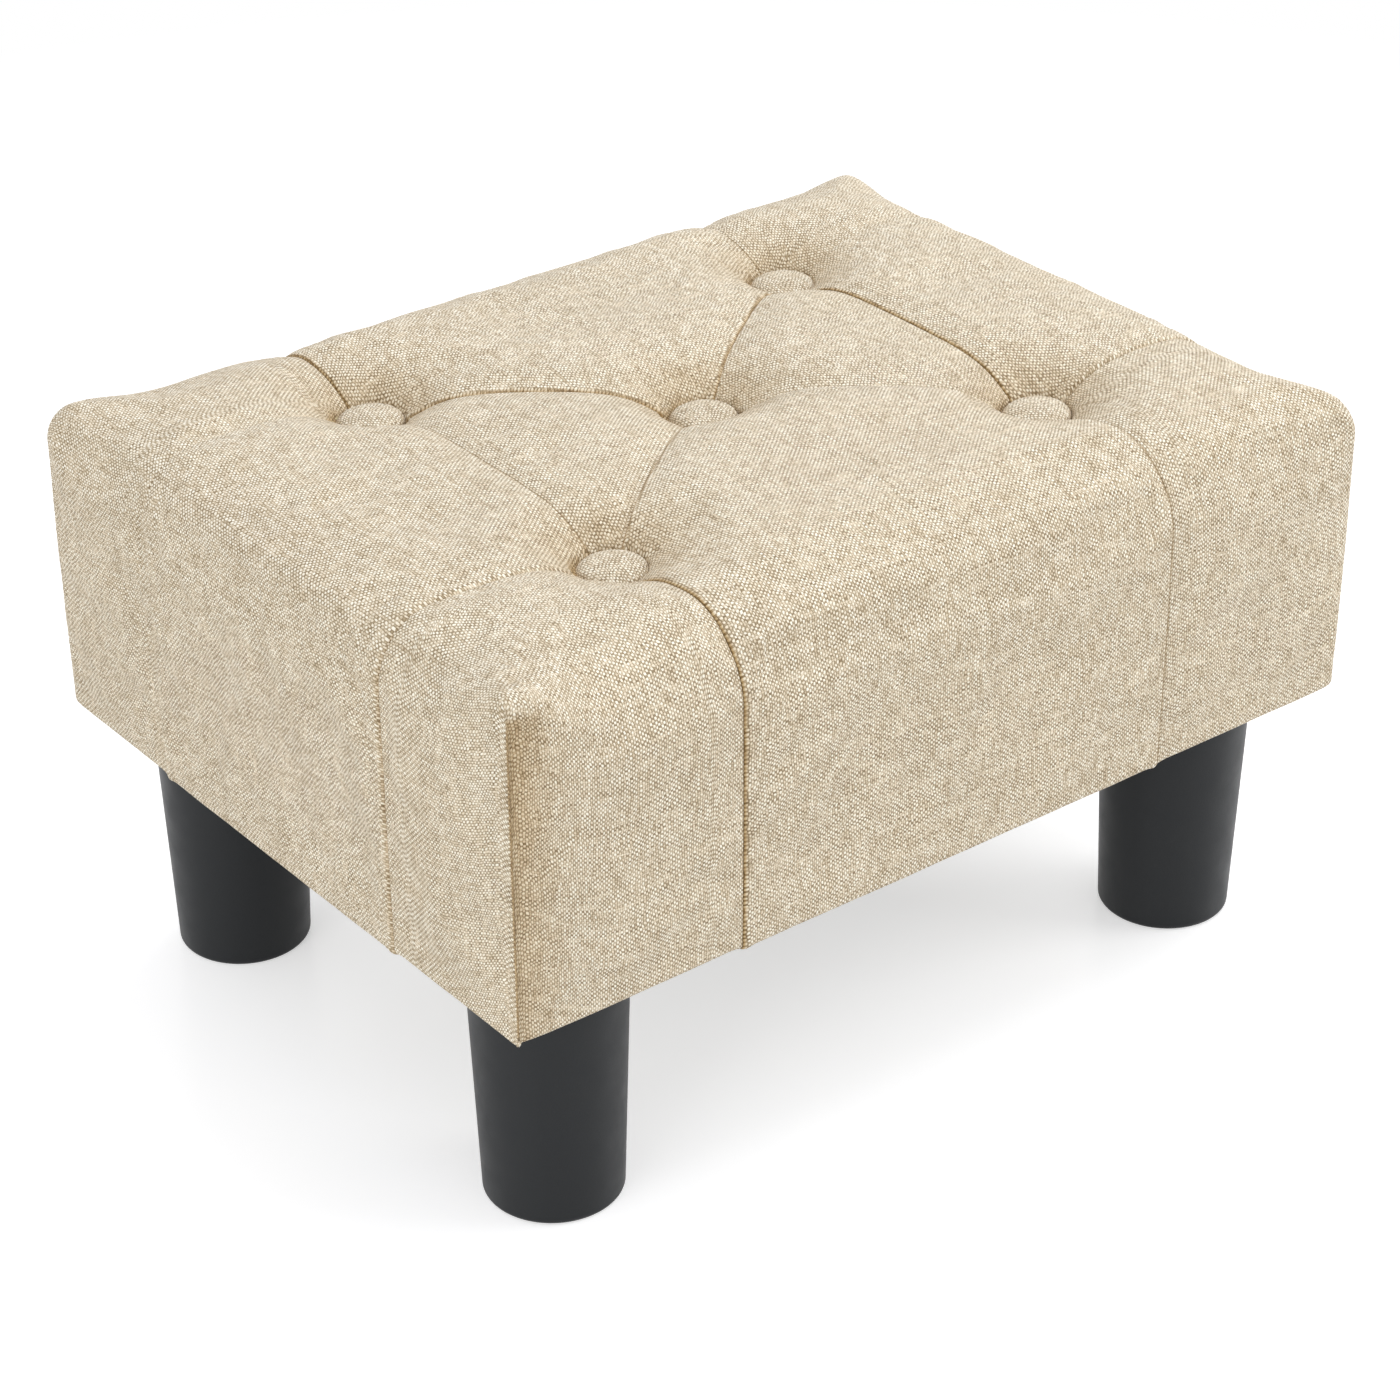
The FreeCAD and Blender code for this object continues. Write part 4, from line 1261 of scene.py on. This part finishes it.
def thicken(piece, thickness):
    """Gives a sheet its thickness on the inside and keeps it as a plain mesh."""
    wall = piece.modifiers.new("wall", "SOLIDIFY")
    wall.thickness = thickness * mm
    wall.offset = -1.0
    wall.use_even_offset = False
    wall.use_rim = True
    bake(piece)


def bake(piece):
    dependency = bpy.context.evaluated_depsgraph_get()
    mesh = bpy.data.meshes.new_from_object(piece.evaluated_get(dependency))
    mesh.name = piece.name
    piece.modifiers.clear()
    old = piece.data
    piece.data = mesh
    bpy.data.meshes.remove(old)


def finish_piece(piece, slot, *nodes):
    piece.data.materials.clear()
    piece.data.materials.append(materials[slot])
    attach(piece, "root")
    if nodes:
        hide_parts(*nodes)


def make_cover():
    pieces = []
    for number, (name, patches) in enumerate(build_panels().items()):
        shift = np.random.RandomState(200 + number).uniform(0, 400, 2)
        place, faces, cloth, held, shade = join_patches(patches, shift)
        piece = new_mesh_object(name + "_panel", place, faces, cloth, shade)
        pieces.append((piece, name, blend_held(held, faces, 3)))
    for piece, _, held in pieces:
        prepare_swelling(piece, held)
    swell([piece for piece, _, _ in pieces])
    for piece, name, _ in pieces:
        thicken(piece, cloth_thickness)
        finish_piece(piece, "cover_fabric", name)


# Buttons

def make_button(name, bx, by):
    """A covered button: cloth drawn over a low dome and gathered under its rim."""
    chance = np.random.RandomState(len(name) * 7 + int(abs(bx)) + int(by))
    outline = []
    for angle in np.linspace(0, 90, dome_rings):
        turn = math.radians(angle)
        outline.append((button_radius * math.sin(turn) ** dome_curve,
                        button_height * math.cos(turn) ** dome_curve))
    for inset, level in button_underside:
        outline.append((button_radius - inset, level))
    outline = np.array(outline)
    reach = np.concatenate([[0], np.cumsum(np.linalg.norm(np.diff(outline, axis=0), axis=1))])
    place, cloth, faces = [(bx, by, button_seat + outline[0][1])], [(0.0, 0.0)], []
    levels = [outline[0][1]]
    twist = chance.uniform(0, math.pi)
    for ring, ((radius, height), far) in enumerate(zip(outline[1:], reach[1:])):
        for step in range(button_turns):
            angle = 2 * math.pi * step / button_turns
            gather = 0.10 * math.sin(23 * angle + twist) + 0.07 * math.sin(14 * angle + 2 * twist)
            depth = max(0.0, (ring - 11) / 8.0)
            size = radius + gather * min(depth, 1.0)
            tilted = height + button_tilt * size * math.cos(angle)
            place.append((bx + size * math.cos(angle), by + size * math.sin(angle), button_seat + tilted))
            levels.append(height)
            cloth.append((far * math.cos(angle), far * math.sin(angle)))
    rings = len(outline) - 1
    for step in range(button_turns):
        ahead = (step + 1) % button_turns
        faces.append((0, 1 + step, 1 + ahead))
        for ring in range(rings - 1):
            a = 1 + ring * button_turns
            b = a + button_turns
            faces.append((a + step, b + step, b + ahead, a + ahead))
    # Painted shade on the lower part of the dome, strongest on its left side
    west = np.array([max(0.0, (bx - point[0]) / button_radius) for point in place])
    low = 1.0 - eased(np.array(levels) / (button_height * (0.7 + 0.22 * west)))
    shade = button_rim_shade * low * (0.45 + 0.55 * west)
    cloth = np.array(cloth) + chance.uniform(0, 200, 2)
    piece = new_mesh_object("button_" + name, place, faces, cloth, shade)
    thicken(piece, button_cloth)
    finish_piece(piece, "button_fabric", "button_cover_" + name)


# Stitches: threads that hold the panels' edges together, deep in each seam
stitch_pitch = 3.2
stitch_length = 2.5
thread_width = 0.34
thread_depth = 1.0
clear_of_button = 15.0
path_step = 2.0
stitches_end = 4.0


def over_the_edge(start, stop):
    """Places along the top from start to stop and on down the side, and the way down of each."""
    drop = seam_crest - hem_low - stitches_end
    flat = even(start, stop, path_step)
    down = even(path_step, drop, path_step)[:int(drop / path_step)]
    return np.append(flat, np.full(len(down), stop)), np.append(np.zeros(len(flat)), down)


def seam_paths():
    """Lines of points along every seam, a little below the cover."""
    lines = []
    across, across_down = over_the_edge(button_y + clear_of_button, half_width)
    along, along_down = over_the_edge(button_x + clear_of_button, half_length)
    share = np.linspace(clear_of_button / DIAGONAL, 1 - clear_of_button / DIAGONAL, 50)
    between = even(-button_y + clear_of_button, button_y - clear_of_button, path_step)
    for sign_x in (-1, 1):
        for sign_y in (-1, 1):
            lines.append((np.full_like(across, sign_x * button_x), sign_y * across, across_down, 1.0))
            lines.append((sign_x * along, np.full_like(along, sign_y * button_y), along_down, end_valley))
            lines.append((sign_x * button_x * share, sign_y * button_y * share, np.zeros_like(share), 1.0))
        lines.append((np.full_like(between, sign_x * button_x), between, np.zeros_like(between), 1.0))
    paths = []
    for x, y, down, strength in lines:
        place, outward = cover_surface(x, y, down, [(np.zeros_like(x), strength)])
        paths.append(place - outward * thread_depth)
    return paths


def stitch_tree():
    """Geometry nodes that set a short thread at even steps along each line of a mesh."""
    tree = bpy.data.node_groups.new("seam stitches", "GeometryNodeTree")
    tree.interface.new_socket("Geometry", in_out="INPUT", socket_type="NodeSocketGeometry")
    for label in ("Pitch", "Length", "Thread Width"):
        tree.interface.new_socket(label, in_out="INPUT", socket_type="NodeSocketFloat")
    tree.interface.new_socket("Thread", in_out="INPUT", socket_type="NodeSocketMaterial")
    tree.interface.new_socket("Geometry", in_out="OUTPUT", socket_type="NodeSocketGeometry")
    w = Wiring(tree)
    given = w.node("NodeGroupInput").outputs
    curve = w.node("GeometryNodeMeshToCurve", {"Mesh": given["Geometry"]}).outputs[0]
    steps = w.node("GeometryNodeResampleCurve", {"Curve": curve, "Length": given["Pitch"]}, mode="LENGTH")
    half = w.times(given["Length"], 0.5)
    lowest = w.combine(0.0, 0.0, w.times(half, -1.0))
    line = w.node("GeometryNodeCurvePrimitiveLine", {"Start": lowest, "End": w.combine(0.0, 0.0, half)})
    bent = w.node("GeometryNodeResampleCurve", {"Curve": line.outputs[0], "Count": 5}, mode="COUNT")
    radius = w.times(given["Thread Width"], 0.5)
    ring = w.node("GeometryNodeCurvePrimitiveCircle", {"Resolution": 6, "Radius": radius})
    thread = w.node("GeometryNodeCurveToMesh",
                    {"Curve": bent.outputs[0], "Profile Curve": ring.outputs[0], "Fill Caps": True})
    tangent = w.node("GeometryNodeInputTangent").outputs[0]
    turn = w.node("FunctionNodeAlignRotationToVector", {"Vector": tangent}, axis="Z").outputs[0]
    placed = w.node("GeometryNodeInstanceOnPoints",
                    {"Points": steps.outputs[0], "Instance": thread.outputs[0], "Rotation": turn})
    plain = w.node("GeometryNodeRealizeInstances", {"Geometry": placed.outputs[0]})
    finished = w.node("GeometryNodeSetMaterial", {"Geometry": plain.outputs[0], "Material": given["Thread"]})
    w.set(w.node("NodeGroupOutput").inputs[0], finished.outputs[0])
    return tree


def make_seam_stitches():
    points, edges = [], []
    for path in seam_paths():
        first = len(points)
        points += (path * mm).tolist()
        edges += [(first + n, first + n + 1) for n in range(len(path) - 1)]
    mesh = bpy.data.meshes.new("seam_stitches")
    mesh.from_pydata(points, edges, [])
    piece = bpy.data.objects.new("seam_stitches", mesh)
    scene.collection.objects.link(piece)
    tree = stitch_tree()
    maker = piece.modifiers.new("stitches", "NODES")
    maker.node_group = tree
    values = {"Pitch": stitch_pitch * mm, "Length": stitch_length * mm,
              "Thread Width": thread_width * mm, "Thread": materials["twine"]}
    for item in tree.interface.items_tree:
        if item.in_out == "INPUT" and item.name in values:
            maker[item.identifier] = values[item.name]
    bake(piece)
    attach(piece, "root")


# Foam under the cover
foam_half_length = 195.0
foam_half_width = 147.0
foam_clearance = 3.4
foam_grid = 4.0
foam_margin = 2.0
button_pocket_depth = 2.5
board_top = 188.6
strip_grid = 5.0


def skin_faces(rows, columns):
    """Faces of two like grids, the first above the second, and of the walls between their borders."""
    count = rows * columns
    number = np.arange(count).reshape(rows, columns)
    ring = np.concatenate([number[:, 0], number[-1, 1:], number[::-1, -1][1:], number[0, ::-1][1:-1]])
    ahead = np.roll(ring, -1)
    walls = np.stack([ring, ring + count, ahead + count, ahead], -1)
    return np.concatenate([patch_faces(rows, columns, 0, False), patch_faces(rows, columns, count, True),
                           walls])


def make_seat_foam():
    """Seat foam: its top follows the cover's dimples, with a pocket under each button."""
    xs = even(-foam_half_length + foam_margin, foam_half_length - foam_margin, foam_grid)
    ys = even(-foam_half_width + foam_margin, foam_half_width - foam_margin, foam_grid)
    x, y = np.meshgrid(xs, ys, indexing="ij")
    place, _ = padded_form(x * (half_length / (foam_half_length + 3.5)),
                           y * (half_width / (foam_half_width + 3.5)), np.zeros_like(x))
    top = place[..., 2] - dimple(x, y, np.zeros_like(x)) - foam_clearance
    for bx, by in BUTTONS.values():
        away = np.hypot(x - bx, y - by)
        top -= button_pocket_depth * (1 - eased((away - 12.0) / 5.0))
    top += 0.12 * undulation(x, y, top, 18.0, 21)
    plan_x = place[..., 0] * (foam_half_length / (half_length + 1.0))
    plan_y = place[..., 1] * (foam_half_width / (half_width + 1.0))
    upper = np.stack([plan_x, plan_y, top], -1)
    lower = np.stack([plan_x, plan_y, np.full_like(top, board_top + 0.05)], -1)
    both = np.concatenate([upper.reshape(-1, 3), lower.reshape(-1, 3)])
    piece = new_mesh_object("seat_foam_pad", both, skin_faces(*x.shape).tolist())
    finish_piece(piece, "foam", "seat_foam")


def make_side_foam(node):
    """A thin foam strip on one rail, with soft edges and a slightly uneven cut."""
    low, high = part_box(node)
    low = np.array(low) / mm
    high = np.array(high) / mm
    thin = int(np.argmin(high - low))
    wide = 1 - thin
    us = even(low[wide], high[wide], strip_grid)
    vs = even(low[2], high[2], strip_grid)
    u, v = np.meshgrid(us, vs, indexing="ij")
    border = np.minimum(np.minimum(u - low[wide], high[wide] - u), np.minimum(v - low[2], high[2] - v))
    soft = 1 - 0.35 * np.exp(-border / 1.5)
    middle = (low[thin] + high[thin]) / 2
    half = (high[thin] - low[thin]) / 2
    skins = []
    for side in (-1, 1):
        uneven = 0.12 * undulation(u, v, np.full_like(u, side * 40.0), 30.0, 31)
        place = np.zeros(u.shape + (3,))
        place[..., wide] = u
        place[..., 2] = v
        place[..., thin] = middle + side * (half * soft - 0.15 + np.minimum(uneven, 0.0))
        skins.append(place)
    faces = skin_faces(*u.shape)
    if thin == 0:
        faces = faces[:, ::-1]
    both = np.concatenate([skin.reshape(-1, 3) for skin in skins])
    piece = new_mesh_object(node + "_pad", both, faces.tolist())
    finish_piece(piece, "foam", node)


# Dust cover
dust_grid = 3.0
dust_cloth_thickness = 0.25
dust_sag = 1.6
dust_unevenness = 0.3
pull_pitch = 21.0
pull_height = 0.25
leg_clear = 32.0
stud_hole_radius = 5.6


def make_dust_cover():
    """Thin black cloth stapled under the frame, with soft pulls between its staples."""
    low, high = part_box("dust_cover")
    low = np.array(low) / mm
    high = np.array(high) / mm
    xs = even(low[0], high[0], dust_grid)
    ys = even(low[1], high[1], dust_grid)
    x, y = np.meshgrid(xs, ys, indexing="ij")
    to_edge = np.minimum(high[0] - np.abs(x), high[1] - np.abs(y))
    leg_away = np.hypot(np.abs(x) - leg_x, np.abs(y) - leg_y)
    free = eased((to_edge - 6.0) / 40.0) * eased((leg_away - leg_clear) / 40.0)
    sag = dust_sag * free + dust_unevenness * free * undulation(x, y, np.zeros_like(x), 60.0, 61)
    wave = np.sin((x + y) * 2 * math.pi / pull_pitch)
    pulls = pull_height * np.exp(-to_edge / 9.0) * wave * eased(to_edge / 4.0)
    pulls *= eased((leg_away - leg_clear + 1.0) / 6.0)
    z = low[2] + 0.02 - sag + np.minimum(pulls, 0.0) * 0.6 + dust_cloth_thickness
    place = np.stack([x, y, z], -1)
    rows, columns = x.shape
    faces = patch_faces(rows, columns, 0, True)
    centres = place.reshape(-1, 3)[faces].mean(1)
    # The legs' studs pass through holes in the cloth
    keep = np.hypot(np.abs(centres[:, 0]) - leg_x, np.abs(centres[:, 1]) - leg_y) > stud_hole_radius
    cloth = np.stack([x, y], -1).reshape(-1, 2) + 250.0
    piece = new_mesh_object("dust_cover_sheet", place.reshape(-1, 3), faces[keep].tolist(), cloth)
    thicken(piece, dust_cloth_thickness)
    finish_piece(piece, "dust_cloth", "dust_cover")


# CAD pieces that keep their shape and take a finish

def dress_cad_nodes():
    slots = {entry["node"]: entry["material_slot"] for entry in frame["record"]["subparts"]}
    for name, node in frame["nodes"].items():
        if node.hide_render:
            continue
        node.data.materials.clear()
        node.data.materials.append(materials[slots[name]])
        for face in node.data.polygons:
            face.material_index = 0


make_camera()
make_stage()
materials = make_materials()
make_cover()
for button_name, (place_x, place_y) in BUTTONS.items():
    make_button(button_name, place_x, place_y)
make_seam_stitches()
make_seat_foam()
for foam_node in ("front_side_foam", "rear_side_foam", "left_side_foam", "right_side_foam"):
    make_side_foam(foam_node)
make_dust_cover()
dress_cad_nodes()
